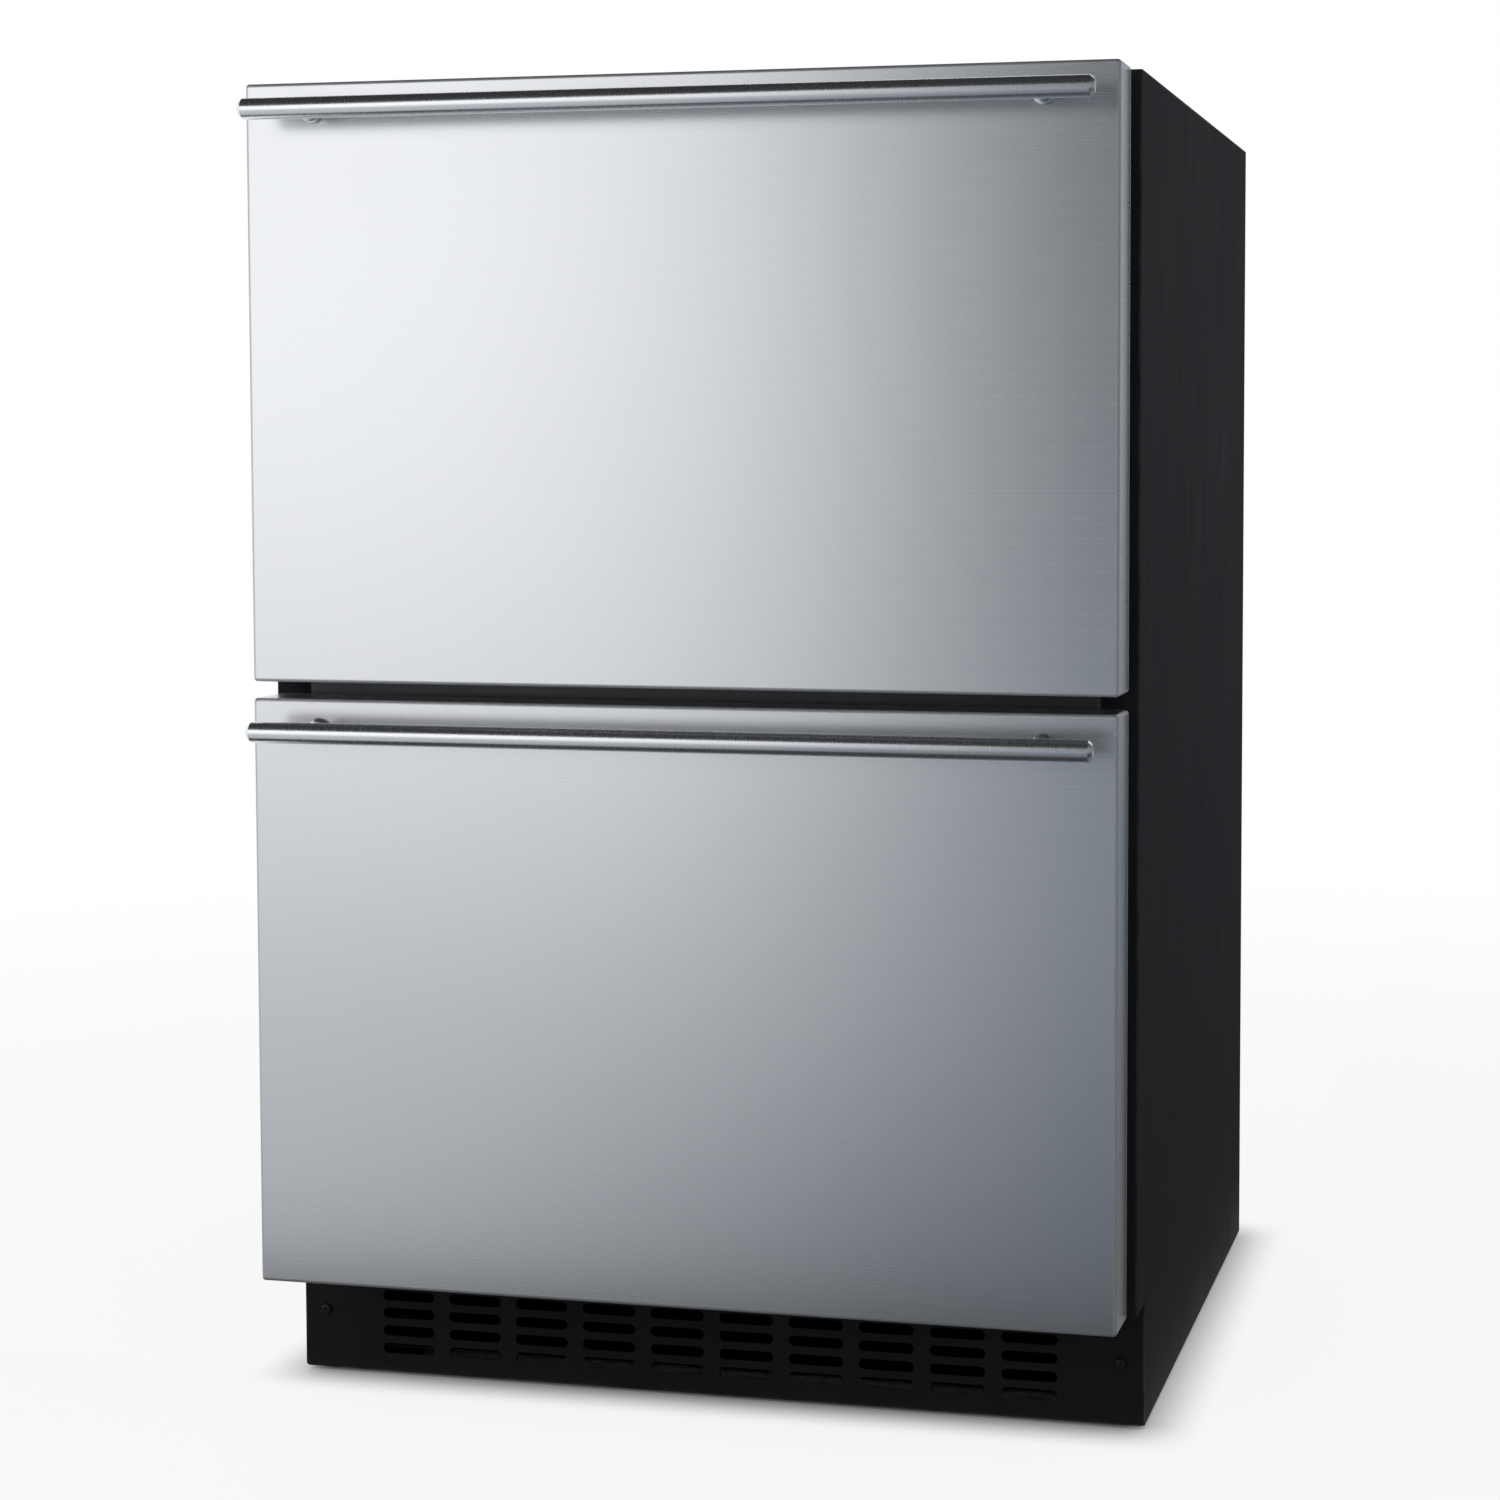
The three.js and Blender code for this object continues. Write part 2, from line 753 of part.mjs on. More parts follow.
// The condenser's spine has two legs, which lift its fins clear of the foot stud in the base pan.
function condenserCoil() {
  const fins = alongZ(finnedOutline(condenserWidth, condenserDepth, condenserFins), condenserHeight)
    .translate(0, 0, condenserLegHeight);
  const legs = [0, condenserWidth - condenserLegWidth].map((x) => block(
    [x, condenserDepth - finSpine, 0],
    [x + condenserLegWidth, condenserDepth, condenserLegHeight + finSpine],
  ));
  const place = [condenserX, machineMiddleY - condenserDepth / 2, machineFloor];
  return piece('condenser_coil', join([fins, ...legs]), finishes.fins(), place);
}

// The plate round the wheel stands on the base pan beside the condenser; the air runs along X.
function condenserFanShroud() {
  const plate = roundedRectangle(shroudHeight, condenserDepth, shroudThickness);
  plate.holes.push(roundHole(0, 0, condenserFanRadius + fanTipGap, fineFacets));
  const place = [0, 0, -shroudThickness / 2];
  return piece('condenser_fan_shroud', alongZ(plate, shroudThickness), finishes.zinc(), place);
}

// Arms hold the motor to the back of the shroud plate.
function motorArms() {
  const level = fanHubLength / 2 + seat + fanMotorLength / 2;
  const width = fanArmWidth;
  const foot = condenserFanRadius + fanTipGap;
  const arm = ([a, b, low]) => block(
    [Math.min(a, b), -width / 2, low],
    [Math.max(a, b), width / 2, level + width],
  );
  return [-1, 1].flatMap((side) => [
    [side * (fanMotorRadius - width), side * (foot + width), level],
    [side * foot, side * (foot + width), shroudThickness / 2 + seat],
  ].map(arm));
}

function condenserFan() {
  const reach = fanHubLength / 2 + seat + fanMotorLength;
  const turned = group([
    condenserFanShroud(),
    fanWheel('condenser_fan_blade', condenserFanRadius, fanBladeChord),
    fanMotor('condenser_fan_motor', reach, motorArms()),
  ], [shroudX, machineMiddleY, fanZ]);
  turned.rotation.y = Math.PI / 2;
  return turned;
}

// A domed can on a foot plate, standing on four grommets.
function compressor() {
  const [radius, bend, height] = [compressorRadius, compressorBend, compressorHeight];
  const profile = [
    [0, 0],
    [radius - bend, 0],
    [radius, bend],
    [radius, height - compressorDome],
    [radius - bend, height - compressorDome / 2],
    [compressorCrownRadius, height],
    [0, height],
  ].map(([r, z]) => new THREE.Vector2(r, z));
  const can = new THREE.LatheGeometry(profile, fineFacets).rotateX(Math.PI / 2).translate(0, 0, canBottom);
  const [x, y] = [compressorFootWidth / 2, compressorFootDepth / 2];
  const plateTop = canBottom + compressorFootThickness;
  const plate = block([-x, -y, canBottom], [x, y, plateTop]);
  const grommet = rod(grommetRadius, plateTop - machineFloor).translate(0, 0, machineFloor);
  const grommets = [-1, 1].flatMap((i) => [-1, 1].map((j) => (
    grommet.clone().translate(i * (x - grommetRadius), j * (y - grommetRadius), 0))));
  const place = [compressorX, machineMiddleY, 0];
  return piece('compressor', join([can, plate, ...grommets]), finishes.compressor(), place);
}

const dripPanBottom = canBottom + compressorHeight + seat;

// A tray clipped on top of the compressor, where the warmth dries the defrost water.
function dripPan() {
  const [width, depth] = [compressorFootWidth, compressorRadius * 2];
  const wall = dripPanWall;
  const tray = alongZ(roundedRectangle(width, depth, dripPanCornerRadius), dripPanHeight);
  const inside = roundedRectangle(width - 2 * wall, depth - 2 * wall, dripPanCornerRadius - wall);
  const room = alongZ(inside, dripPanHeight).translate(0, 0, wall);
  const place = [compressorX, machineMiddleY, dripPanBottom];
  return piece('drip_pan', cut(tray, [room]), finishes.blackPlastic(), place);
}

const rearBottom = basePanHeight;
const rearHeight = machineTop - seat - rearBottom;
const rearHalf = cabinetHalf - skinThickness - seat;
const inletX = rearHalf - inletSideInset - inletWidth / 2;
const inletZ = inletAboveCoverBottom;

function rearMachineCover() {
  const sheet = outline([[-rearHalf, 0], [rearHalf, 0], [rearHalf, rearHeight], [-rearHalf, rearHeight]]);
  for (const u of evenly(louvreColumns, louvreColumnPitch)) {
    for (const v of evenly(louvreRows, louvrePitch, louvresAboveCoverBottom)) {
      sheet.holes.push(slotHole(u, v, louvreLength, louvreWidth));
    }
  }
  const [x, z] = [inletWidth / 2 + seat, inletHeight / 2 + seat];
  sheet.holes.push(new THREE.Path([
    new THREE.Vector2(inletX - x, inletZ - z),
    new THREE.Vector2(inletX - x, inletZ + z),
    new THREE.Vector2(inletX + x, inletZ + z),
    new THREE.Vector2(inletX + x, inletZ - z),
  ]));
  const place = [0, backSheetFront, rearBottom];
  return piece('rear_machine_cover', alongY(sheet, skinThickness), finishes.blackPaint(), place);
}

// A socket for a detachable cord, with a flange that bears on the inside of the rear cover.
function cordInlet() {
  const [x, z] = [inletWidth / 2, inletHeight / 2];
  const body = block([-x, -inletDepth, -z], [x, 0, z]);
  const flange = block(
    [-x - inletFlange, -skinThickness - seat - inletWall, -z - inletFlange],
    [x + inletFlange, -skinThickness - seat, z + inletFlange],
  );
  const socket = block(
    [inletWall - x, inletWall - inletDepth, inletWall - z],
    [x - inletWall, through, z - inletWall],
  );
  const place = [inletX, cabinetDepth, rearBottom + inletZ];
  return piece('cord_inlet', cut(join([body, flange]), [socket]), finishes.blackPlastic(), place);
}

// ---------------------------------------------------------------------------------------------
// Slides: three channels nested in each other, drawn by depth from the liner's wall and height
// ---------------------------------------------------------------------------------------------

const slideStep = slideWall + runningGap;

function slideMember(name, side, profile, middle) {
  const shape = outline(profile.map(([depth, z]) => [side * (cavityHalf - seat - depth), z]));
  return piece(name, alongY(shape, slideLength), finishes.zinc(), [0, slideFrontInset, middle]);
}

// A channel open towards the bin, its web nearest the wall.
function openChannel(webDepth, mouthDepth, height) {
  const z = height / 2;
  const inner = z - slideWall;
  return [
    [webDepth, -z],
    [mouthDepth, -z],
    [mouthDepth, -inner],
    [webDepth + slideWall, -inner],
    [webDepth + slideWall, inner],
    [mouthDepth, inner],
    [mouthDepth, z],
    [webDepth, z],
  ];
}

const midChannelHeight = slideHeight - 2 * slideStep;
const innerChannelHeight = midChannelHeight - 2 * slideStep;
const channelMouth = slideThickness - slideWall - runningGap;

function outerRail(prefix, side, middle) {
  const profile = openChannel(0, channelMouth - runningGap, slideHeight);
  return slideMember(`${prefix}_outer_rail`, side, profile, middle);
}

function midRail(prefix, side, middle) {
  const profile = openChannel(slideStep, channelMouth, midChannelHeight);
  return slideMember(`${prefix}_mid_rail`, side, profile, middle);
}

// The member on the bin: it faces the wall, and its web stands up above the others as a hanger.
function innerRail(prefix, side, middle) {
  const z = innerChannelHeight / 2;
  const inner = z - slideWall;
  const mouth = 2 * slideStep;
  const web = slideThickness - slideWall;
  const profile = [
    [slideThickness, -z],
    [slideThickness, hangerHeight],
    [web, hangerHeight],
    [web, z],
    [mouth, z],
    [mouth, inner],
    [web, inner],
    [web, -inner],
    [mouth, -inner],
    [mouth, -z],
  ];
  const shape = outline(profile.map(([depth, height]) => [side * (cavityHalf - seat - depth), height]));
  const front = doorBack + seat;
  const rail = alongY(shape, slideEnd - front);
  return piece(`${prefix}_inner_rail`, rail, finishes.zinc(), [0, front, middle]);
}

// ---------------------------------------------------------------------------------------------
// Drawer fronts and handles: heights are measured from the front's bottom edge
// ---------------------------------------------------------------------------------------------

// The steel skin: a tray open to the back, with softened front edges.
function frontSkin(prefix) {
  const e = doorEdgeRadius;
  const plan = roundedRectangle(doorWidth - 2 * e, doorHeight - 2 * e, e / 2);
  const slab = new THREE.ExtrudeGeometry(plan, {
    depth: doorThickness,
    bevelThickness: e,
    bevelSize: e,
    bevelSegments: doorEdgeFacets,
    curveSegments: cornerDivisions,
  }).rotateX(Math.PI / 2).translate(0, doorFace + e + doorThickness, doorHeight / 2);
  const t = skinThickness;
  const back = doorBack + doorThickness;
  const hollow = block([t - doorHalf, doorFace + t, t], [doorHalf - t, back, doorHeight - t]);
  const behind = block([-doorWidth, doorBack, -through], [doorWidth, back, doorHeight + through]);
  return piece(`${prefix}_front_skin`, cut(slab, [hollow, behind]), finishes.frontSteel());
}

// The box inside the skin's returns, less the gap all round.
const skinRoomHalf = doorHalf - skinThickness - seat;
const skinRoomLow = skinThickness + seat;
const skinRoomHigh = doorHeight - skinThickness - seat;
const innerPanelFront = doorBack - linerThickness;

function frontCore(prefix) {
  const core = block(
    [-skinRoomHalf, doorFace + skinThickness + seat, skinRoomLow],
    [skinRoomHalf, innerPanelFront - seat, skinRoomHigh],
  );
  return piece(`${prefix}_front_core`, core, finishes.foam());
}

// The panel that closes the front's back, with a raised field that the bin bears on.
function frontInnerPanel(prefix) {
  const plate = block([-skinRoomHalf, innerPanelFront, skinRoomLow], [skinRoomHalf, doorBack, skinRoomHigh]);
  const fieldHalf = binHalf - 2 * binWall;
  const field = block(
    [-fieldHalf, innerPanelFront, doorPanelMargin],
    [fieldHalf, doorBack + doorPanelField, doorHeight - doorPanelMargin],
  );
  return piece(`${prefix}_front_inner_panel`, join([plate, field]), finishes.liner());
}

function gasket(prefix) {
  const width = doorWidth - 2 * gasketInset;
  const height = doorHeight - 2 * gasketInset;
  const ring = roundedRectangle(width, height, gasketCornerRadius);
  ring.holes.push(roundedRectangle(width - 2 * gasketWidth, height - 2 * gasketWidth, gasketCornerRadius));
  const length = gasketThickness - 2 * seat;
  const place = [0, doorBack + seat, doorHeight / 2];
  return piece(`${prefix}_gasket`, alongY(ring, length), finishes.gasket(), place);
}

// A round bar across the front, with chamfered ends.
function handleBar(prefix) {
  const [r, half, c] = [barDiameter / 2, barLength / 2, barChamfer];
  const profile = [[0, -half], [r - c, -half], [r, c - half], [r, half - c], [r - c, half], [0, half]]
    .map(([radius, x]) => new THREE.Vector2(radius, x));
  const bar = new THREE.LatheGeometry(profile, fineFacets).rotateZ(-Math.PI / 2);
  return piece(`${prefix}_handle_bar`, bar, finishes.barSteel(), [0, barY, doorHeight - barDrop]);
}

// A post from the skin to the bar, hollowed to the bar's round.
function handlePost(prefix, label, side) {
  const length = doorFace - seat - barY;
  const post = rodAlongY(postDiameter / 2, length);
  const bar = rod(barDiameter / 2 + seat, barDiameter * 2, fineFacets).rotateY(Math.PI / 2)
    .translate(-barDiameter, 0, 0);
  const place = [side * (barLength / 2 - postInset), barY, doorHeight - barDrop];
  return piece(`${prefix}_handle_post_${label}`, cut(post, [bar]), finishes.barSteel(), place);
}

// ---------------------------------------------------------------------------------------------
// Bins and drawers
// ---------------------------------------------------------------------------------------------

// An open tub whose side rims rest on the hangers of the inner rails.
function drawerBin(prefix, bottom, rimTop, back) {
  const height = rimTop - bottom;
  const depth = back - binFront;
  const middle = (back + binFront) / 2;
  const tub = alongZ(roundedRectangle(2 * binHalf, depth, binCornerRadius), height);
  const rim = block(
    [-binHalf - binRimReach, -depth / 2 + binCornerRadius, height - binRimThickness],
    [binHalf + binRimReach, depth / 2 - binCornerRadius, height],
  );
  const inside = roundedRectangle(2 * (binHalf - binWall), depth - 2 * binWall, binCornerRadius - binWall);
  const room = alongZ(inside, height).translate(0, 0, binWall);
  return piece(`${prefix}_bin`, cut(join([tub, rim]), [room]), finishes.bin(), [0, middle, bottom]);
}

// One drawer: the front with its handle, the bin, and the sliding members of both slides.
function drawer(prefix, bottom, slideMiddle, binBottom, binBack) {
  const rimTop = slideMiddle + hangerHeight + seat + binRimThickness;
  const front = group([
    frontSkin(prefix),
    frontCore(prefix),
    frontInnerPanel(prefix),
    gasket(prefix),
    handleBar(prefix),
    handlePost(prefix, 'left', -1),
    handlePost(prefix, 'right', 1),
  ], [0, 0, bottom]);
  const rails = [['left', -1], ['right', 1]].flatMap(([label, side]) => [
    outerRail(`${prefix}_${label}`, side, slideMiddle),
    midRail(`${prefix}_${label}`, side, slideMiddle),
    innerRail(`${prefix}_${label}`, side, slideMiddle),
  ]);
  return group([front, drawerBin(prefix, binBottom, rimTop, binBack), ...rails]);
}

// ---------------------------------------------------------------------------------------------
// The refrigerator
// ---------------------------------------------------------------------------------------------

const cabinet = group([
  sidePanel('left_side_panel', -1),
  sidePanel('right_side_panel', 1),
  topPanel(),
  backPanel(),
  undersidePanel(),
  innerLiner(),
  insulationFoam(),
  centreRail(),
  lightBar(),
  controlHousing(),
  thermostatDial(),
]);

const base = group([
  kickGrille(),
  kickScrew('kick_screw_left', -1),
  kickScrew('kick_screw_right', 1),
  basePan(),
  ...feetPlaces.map(levellingFoot),
]);

const cooling = group([
  evaporatorCover(),
  evaporatorCoil(),
  evaporatorFan(),
  condenserCoil(),
  condenserFan(),
  compressor(),
  dripPan(),
  rearMachineCover(),
  cordInlet(),
]);

const lowerDrawer = drawer(
  'lower',
  underside,
  lowerSlideMiddle,
  cavityFloor + binFloorGap,
  stepFront - binBackGap,
);

const upperDrawer = drawer(
  'upper',
  upperDoorBottom,
  upperSlideMiddle,
  railTop + binFloorGap,
  coverFace - 2 * binBackGap,
);

const refrigerator = group(
  [cabinet, base, cooling, lowerDrawer, upperDrawer],
  [0, -(frontmost + cabinetDepth) / 2, 0],
);
refrigerator.name = 'drawer_refrigerator';

export default refrigerator;
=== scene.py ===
# %% [markdown]
# # An undercounter refrigerator with two drawers
#
# A black painted steel cabinet stands under a counter. Two drawers with brushed steel fronts run in
# it on telescopic slides, a slotted kick plate closes the toe space, and the cooling machinery sits
# low at the back. The solids of every part come from the CAD model, in metres, with +Z up and the
# drawer fronts towards -Y. This lesson dresses them: it keeps the solids that are already right, and
# models the others again in finer detail, exactly where the CAD model has them.

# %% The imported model
import json
import math

import bmesh
import bpy
from mathutils import Matrix, Vector

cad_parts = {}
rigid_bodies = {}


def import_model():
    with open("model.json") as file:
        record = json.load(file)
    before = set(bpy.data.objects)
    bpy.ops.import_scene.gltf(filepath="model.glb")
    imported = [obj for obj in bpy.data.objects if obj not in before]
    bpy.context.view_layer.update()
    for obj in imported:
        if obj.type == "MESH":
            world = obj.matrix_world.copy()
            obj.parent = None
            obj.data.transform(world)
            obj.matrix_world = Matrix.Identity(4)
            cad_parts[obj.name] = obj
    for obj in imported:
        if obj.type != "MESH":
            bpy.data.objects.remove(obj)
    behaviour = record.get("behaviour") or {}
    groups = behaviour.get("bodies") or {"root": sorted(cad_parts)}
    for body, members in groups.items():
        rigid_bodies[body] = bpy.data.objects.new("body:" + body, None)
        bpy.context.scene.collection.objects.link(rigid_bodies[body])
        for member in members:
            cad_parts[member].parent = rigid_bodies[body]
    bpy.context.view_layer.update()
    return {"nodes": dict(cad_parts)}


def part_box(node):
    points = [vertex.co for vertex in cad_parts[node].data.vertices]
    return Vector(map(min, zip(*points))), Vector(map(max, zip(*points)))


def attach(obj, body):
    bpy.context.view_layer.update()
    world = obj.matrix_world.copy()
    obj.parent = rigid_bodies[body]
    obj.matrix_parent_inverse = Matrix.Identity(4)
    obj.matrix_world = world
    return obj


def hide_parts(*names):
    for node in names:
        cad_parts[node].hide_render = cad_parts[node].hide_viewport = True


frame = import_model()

nodes = frame["nodes"]
MM = 0.001


def linked(name, data):
    """A new object in the scene."""
    obj = bpy.data.objects.new(name, data)
    bpy.context.scene.collection.objects.link(obj)
    return obj


# %% [markdown]
# ## The camera
#
# Product pictures like this are taken from in front of one edge, with the film plane kept nearly
# parallel to the front. A camera can be turned to the object, or stay straight and shift its lens.
# Here it is turned by 13 degrees and shifted a little.

# %% The camera
yaw, pitch = math.radians(12.88), math.radians(-3.46)
look = Vector((-math.sin(yaw) * math.cos(pitch), math.cos(yaw) * math.cos(pitch), math.sin(pitch)))
camera = linked("camera", bpy.data.cameras.new("camera"))
camera.location = (0.5947, -2.103, 0.6472)
camera.rotation_mode = "QUATERNION"
camera.rotation_quaternion = look.to_track_quat("-Z", "Y")
camera.data.lens = 71.2
camera.data.shift_x, camera.data.shift_y = -0.125, -0.08
bpy.context.scene.camera = camera
bpy.context.scene.view_settings.view_transform = "Standard"
print("camera looks along", [round(v, 3) for v in look])

# %% [markdown]
# ## Writing node trees as sums
#
# Finishes and patterns are node trees. Placing and linking each node by hand hides the idea, so one
# small class stands for a socket, and ordinary arithmetic on it adds the Math nodes. Everything else
# comes from a single method, which takes the node's type, its settings and its inputs.

# %% Sockets that can be added and multiplied
class Wire:
    """An output socket. Arithmetic on it adds the nodes that work the result out."""

    def __init__(self, graph, socket):
        self.graph, self.socket = graph, socket

    def math(self, operation, *values):
        if self.socket.type != "VECTOR":
            return self.graph.add("ShaderNodeMath", {"operation": operation}, dict(enumerate(values)))
        triples = [(v,) * 3 if isinstance(v, (int, float)) else v for v in values]
        return self.graph.add("ShaderNodeVectorMath", {"operation": operation}, dict(enumerate(triples)))

    def __add__(self, other): return self.math("ADD", self, other)
    def __radd__(self, other): return self.math("ADD", other, self)
    def __sub__(self, other): return self.math("SUBTRACT", self, other)
    def __rsub__(self, other): return self.math("SUBTRACT", other, self)
    def __mul__(self, other): return self.math("MULTIPLY", self, other)
    def __rmul__(self, other): return self.math("MULTIPLY", other, self)
    def __truediv__(self, other): return self.math("DIVIDE", self, other)
    def __abs__(self): return self.math("ABSOLUTE", self)

    def least(self, other): return self.math("MINIMUM", self, other)
    def most(self, other): return self.math("MAXIMUM", self, other)

    def step(self, low, high):
        """0 below low, 1 above high, smooth between; low may be the larger of the two."""
        settings = {"interpolation_type": "SMOOTHSTEP"}
        if low < high:
            return self.graph.add("ShaderNodeMapRange", settings, {"Value": self, 1: low, 2: high})
        return 1 - self.step(high, low)

    def blend(self, first, second):
        """The colour first where this is 0, and second where it is 1."""
        return self.graph.add("ShaderNodeMix", {"data_type": "RGBA"}, {0: self, 6: first, 7: second}, 2)

    def parts(self):
        return [self.graph.add("ShaderNodeSeparateXYZ", {}, {0: self}, i) for i in range(3)]


class Graph:
    """A node tree that is being written."""

    def __init__(self, tree):
        self.tree = tree

    def add(self, kind, settings=None, inputs=None, output=0):
        node = self.tree.nodes.new(kind)
        for key, value in (settings or {}).items():
            setattr(node, key, value)
        for key, value in (inputs or {}).items():
            if isinstance(value, list):
                for one in value:
                    self.tree.links.new(one.socket, node.inputs[key])
            elif isinstance(value, Wire):
                self.tree.links.new(value.socket, node.inputs[key])
            else:
                node.inputs[key].default_value = value
        return Wire(self, node.outputs[output]) if node.outputs else None


# %% [markdown]
# ## What every finish is made of
#
# Each finish reads Object coordinates, so a pattern has its real size in metres. Noise that is
# stretched in one direction gives brushed grain, plain noise gives orange peel and clouds, and the
# distance to the sides of the part's own box gives a mask for its worn edges.

# %% A finish
def grey(value, blue=0.0):
    return (value, value, value + blue, 1.0)


class Finish(Graph):
    """A material: patterns first, then one Principled shader."""

    def __init__(self, name):
        self.material = bpy.data.materials.new(name)
        self.material.use_nodes = True
        super().__init__(self.material.node_tree)
        self.tree.nodes.clear()
        self.place = self.add("ShaderNodeTexCoord", {}, {}, "Object")

    def noise(self, scale, detail=2.0, stretch=(1, 1, 1)):
        mapped = self.add("ShaderNodeMapping", {}, {"Vector": self.place, "Scale": stretch})
        return self.add("ShaderNodeTexNoise", {}, {"Vector": mapped, "Scale": scale, "Detail": detail})

    def cells(self, scale, feature="F1", output="Distance"):
        return self.add("ShaderNodeTexVoronoi", {"feature": feature}, {"Vector": self.place, "Scale": scale}, output)

    def facing(self, axis):
        """1 where the surface looks along the axis, either way."""
        normal = self.add("ShaderNodeNewGeometry", {}, {}, "Normal")
        return abs(normal.parts()[axis]).step(0.55, 0.8)

    def edges(self, box, width):
        """1 on the edges of a box, and 0 further than width from them."""
        centre, half = (box[0] + box[1]) / 2, (box[1] - box[0]) / 2
        depth = tuple(half) - abs(self.place - tuple(centre))
        x, y, z = (1 - depth / width).most(0.0).parts()
        return (x * y + y * z + z * x).least(1.0)

    def finish(self, colour, roughness, height=None, lift=0.1, strength=0.3, metallic=0.0, **others):
        inputs = {"Base Color": colour, "Roughness": roughness, "Metallic": metallic}
        if height is not None:
            inputs["Normal"] = self.add("ShaderNodeBump", {}, {
                "Strength": strength, "Distance": lift * MM, "Height": height})
        inputs.update({key.replace("_", " "): value for key, value in others.items()})
        shader = self.add("ShaderNodeBsdfPrincipled", {}, inputs)
        self.add("ShaderNodeOutputMaterial", {}, {"Surface": shader})
        return self.material


# %% [markdown]
# ## Brushed steel
#
# The fronts are stainless sheet, brushed from side to side. The brush leaves fine scratches, which
# widen a reflection across the grain and leave it sharp along it. Anisotropy would need tangents that
# the exported model loses, so the scratches are modelled: long streaks of noise that move the
# roughness and tilt the surface slightly. On the folded returns the same scratches run along Y.

# %% Brushed steel
def brushed_steel(name, box):
    f = Finish(name)
    light, dark, polished = (0.775, 0.78, 0.795, 1), (0.745, 0.75, 0.77, 1), (0.84, 0.845, 0.86, 1)
    side = f.facing(0)

    def streaks(along, across, detail):
        """Long marks along X, and along Y on the returns."""
        return (f.noise(1.0, detail, (along, across, across)) * (1 - side)
                + f.noise(1.0, detail, (across, along, across)) * side)

    fine, broad = streaks(2.2, 3000, 2), streaks(0.4, 900, 1)
    cloud = f.noise(5.0, 3, (1, 1, 0.6))
    grain = fine * 0.85 + broad * 0.15
    worn = f.edges(box, 2.0 * MM) * f.noise(40.0, 3).step(0.2, 0.6)
    rim = f.edges(box, 3 * MM).step(0.1, 0.5)
    tone = (grain.step(0.25, 0.75) * 0.7 + cloud.step(0.2, 0.8) * 0.3).least(1.0)
    colour = (worn * 0.5).blend(tone.blend(dark, light), polished)
    roughness = 0.28 + (grain - 0.5) * 0.06 + (cloud - 0.5) * 0.05 - worn * 0.05 + rim * 0.4
    return f.finish(colour, roughness, grain, lift=0.02, strength=0.055, metallic=1.0)


# %% [markdown]
# ## Black paint, plastic, rubber and plated steel
#
# The cabinet has a satin powder coat. It isn't flat: sprayed powder flows out into a fine orange
# peel, handling leaves faint dull patches, and the coat is thinner and shinier along folded edges.
# The same three ideas, peel, patches and edges, make the plastics and the rubber with other numbers.

# %% Painted, moulded and plated finishes
def coated(name, box, colour=grey(0.008, 0.001), peel=1100.0, lift=0.04, rough=0.5, edge=grey(0.035, 0.003),
           patch=grey(0.013, 0.001), Specular_IOR_Level=0.22, **others):
    f = Finish(name)
    skin = f.noise(peel, 2)
    cloud = f.noise(7.0, 4)
    rubbed = f.noise(1.0, 3, (9, 60, 14)).step(0.45, 0.8)
    worn = f.edges(box, 1.6 * MM) * f.noise(45.0, 3).step(0.35, 0.65)
    tint = cloud.step(0.3, 0.8).blend(colour, patch)
    shine = rough + (cloud - 0.5) * 0.16 + rubbed * 0.05 - worn * 0.1
    return f.finish(worn.blend(tint, edge), shine, skin, lift=lift, strength=0.3,
                    Specular_IOR_Level=Specular_IOR_Level, **others)


def moulded(name, box, colour, patch, rough=0.42, **others):
    return coated(name, box, colour, 700.0, 0.03, rough, patch, patch, **others)


def rubber(name):
    f = Finish(name)
    pores, dust = f.noise(1800.0, 2), f.noise(25.0, 4).step(0.4, 0.8)
    tint = dust.blend(grey(0.008), grey(0.02, 0.001))
    return f.finish(tint, 0.62 + dust * 0.15, pores, lift=0.03, strength=0.3)


def plated(name, box, colour=(0.60, 0.62, 0.63, 1), dark=(0.44, 0.46, 0.48, 1), rough=0.36):
    """Zinc: flat crystals of slightly different greys, dulled here and there."""
    f = Finish(name)
    crystal = f.cells(140.0, output="Color").parts()[0]
    haze = f.noise(18.0, 4)
    worn = f.edges(box, 1.2 * MM) * f.noise(90.0, 3).step(0.4, 0.7)
    tint = worn.blend((crystal * 0.6 + haze * 0.4).blend(dark, colour), (0.72, 0.73, 0.74, 1))
    return f.finish(tint, rough + (haze - 0.5) * 0.25 + crystal * 0.08, f.noise(900.0, 2), 0.02, 0.2, 1.0)


# %% [markdown]
# ## From mesh code to a finished piece
#
# A finished piece is a plain mesh at the origin. The helpers below fill one bmesh with boxes, turned
# shapes and drawn-out outlines. The last step rounds the edges, because no real edge is perfectly
# sharp and the thin highlight on it is what the eye reads as a solid thing. Weighted normals then keep
# the large faces flat, so that reflections in them stay straight.

# %% Shapes in one bmesh
def add_box(bm, low, high):
    corners = [[low, high][i >> a & 1][a] for i in range(8) for a in range(3)]
    v = [bm.verts.new(corners[i * 3:i * 3 + 3]) for i in range(8)]
    for face in ((0, 2, 3, 1), (4, 5, 7, 6), (0, 1, 5, 4), (2, 6, 7, 3), (0, 4, 6, 2), (1, 3, 7, 5)):
        bm.faces.new([v[i] for i in face])
    return v


def add_rings(bm, rings, closed_path=False):
    """Joins rings of the same number of points, and closes both ends unless the path is a loop."""
    rows = [[bm.verts.new(p) for p in ring] for ring in rings]
    count = len(rows[0])
    for a, b in zip(rows, rows[1:] + ([rows[0]] if closed_path else [])):
        for i in range(count):
            bm.faces.new((a[i], a[(i + 1) % count], b[(i + 1) % count], b[i]))
    if not closed_path:
        bm.faces.new(rows[0])
        bm.faces.new(rows[-1])


AXES = {"X": (1, 2, 0), "Y": (2, 0, 1), "Z": (0, 1, 2)}


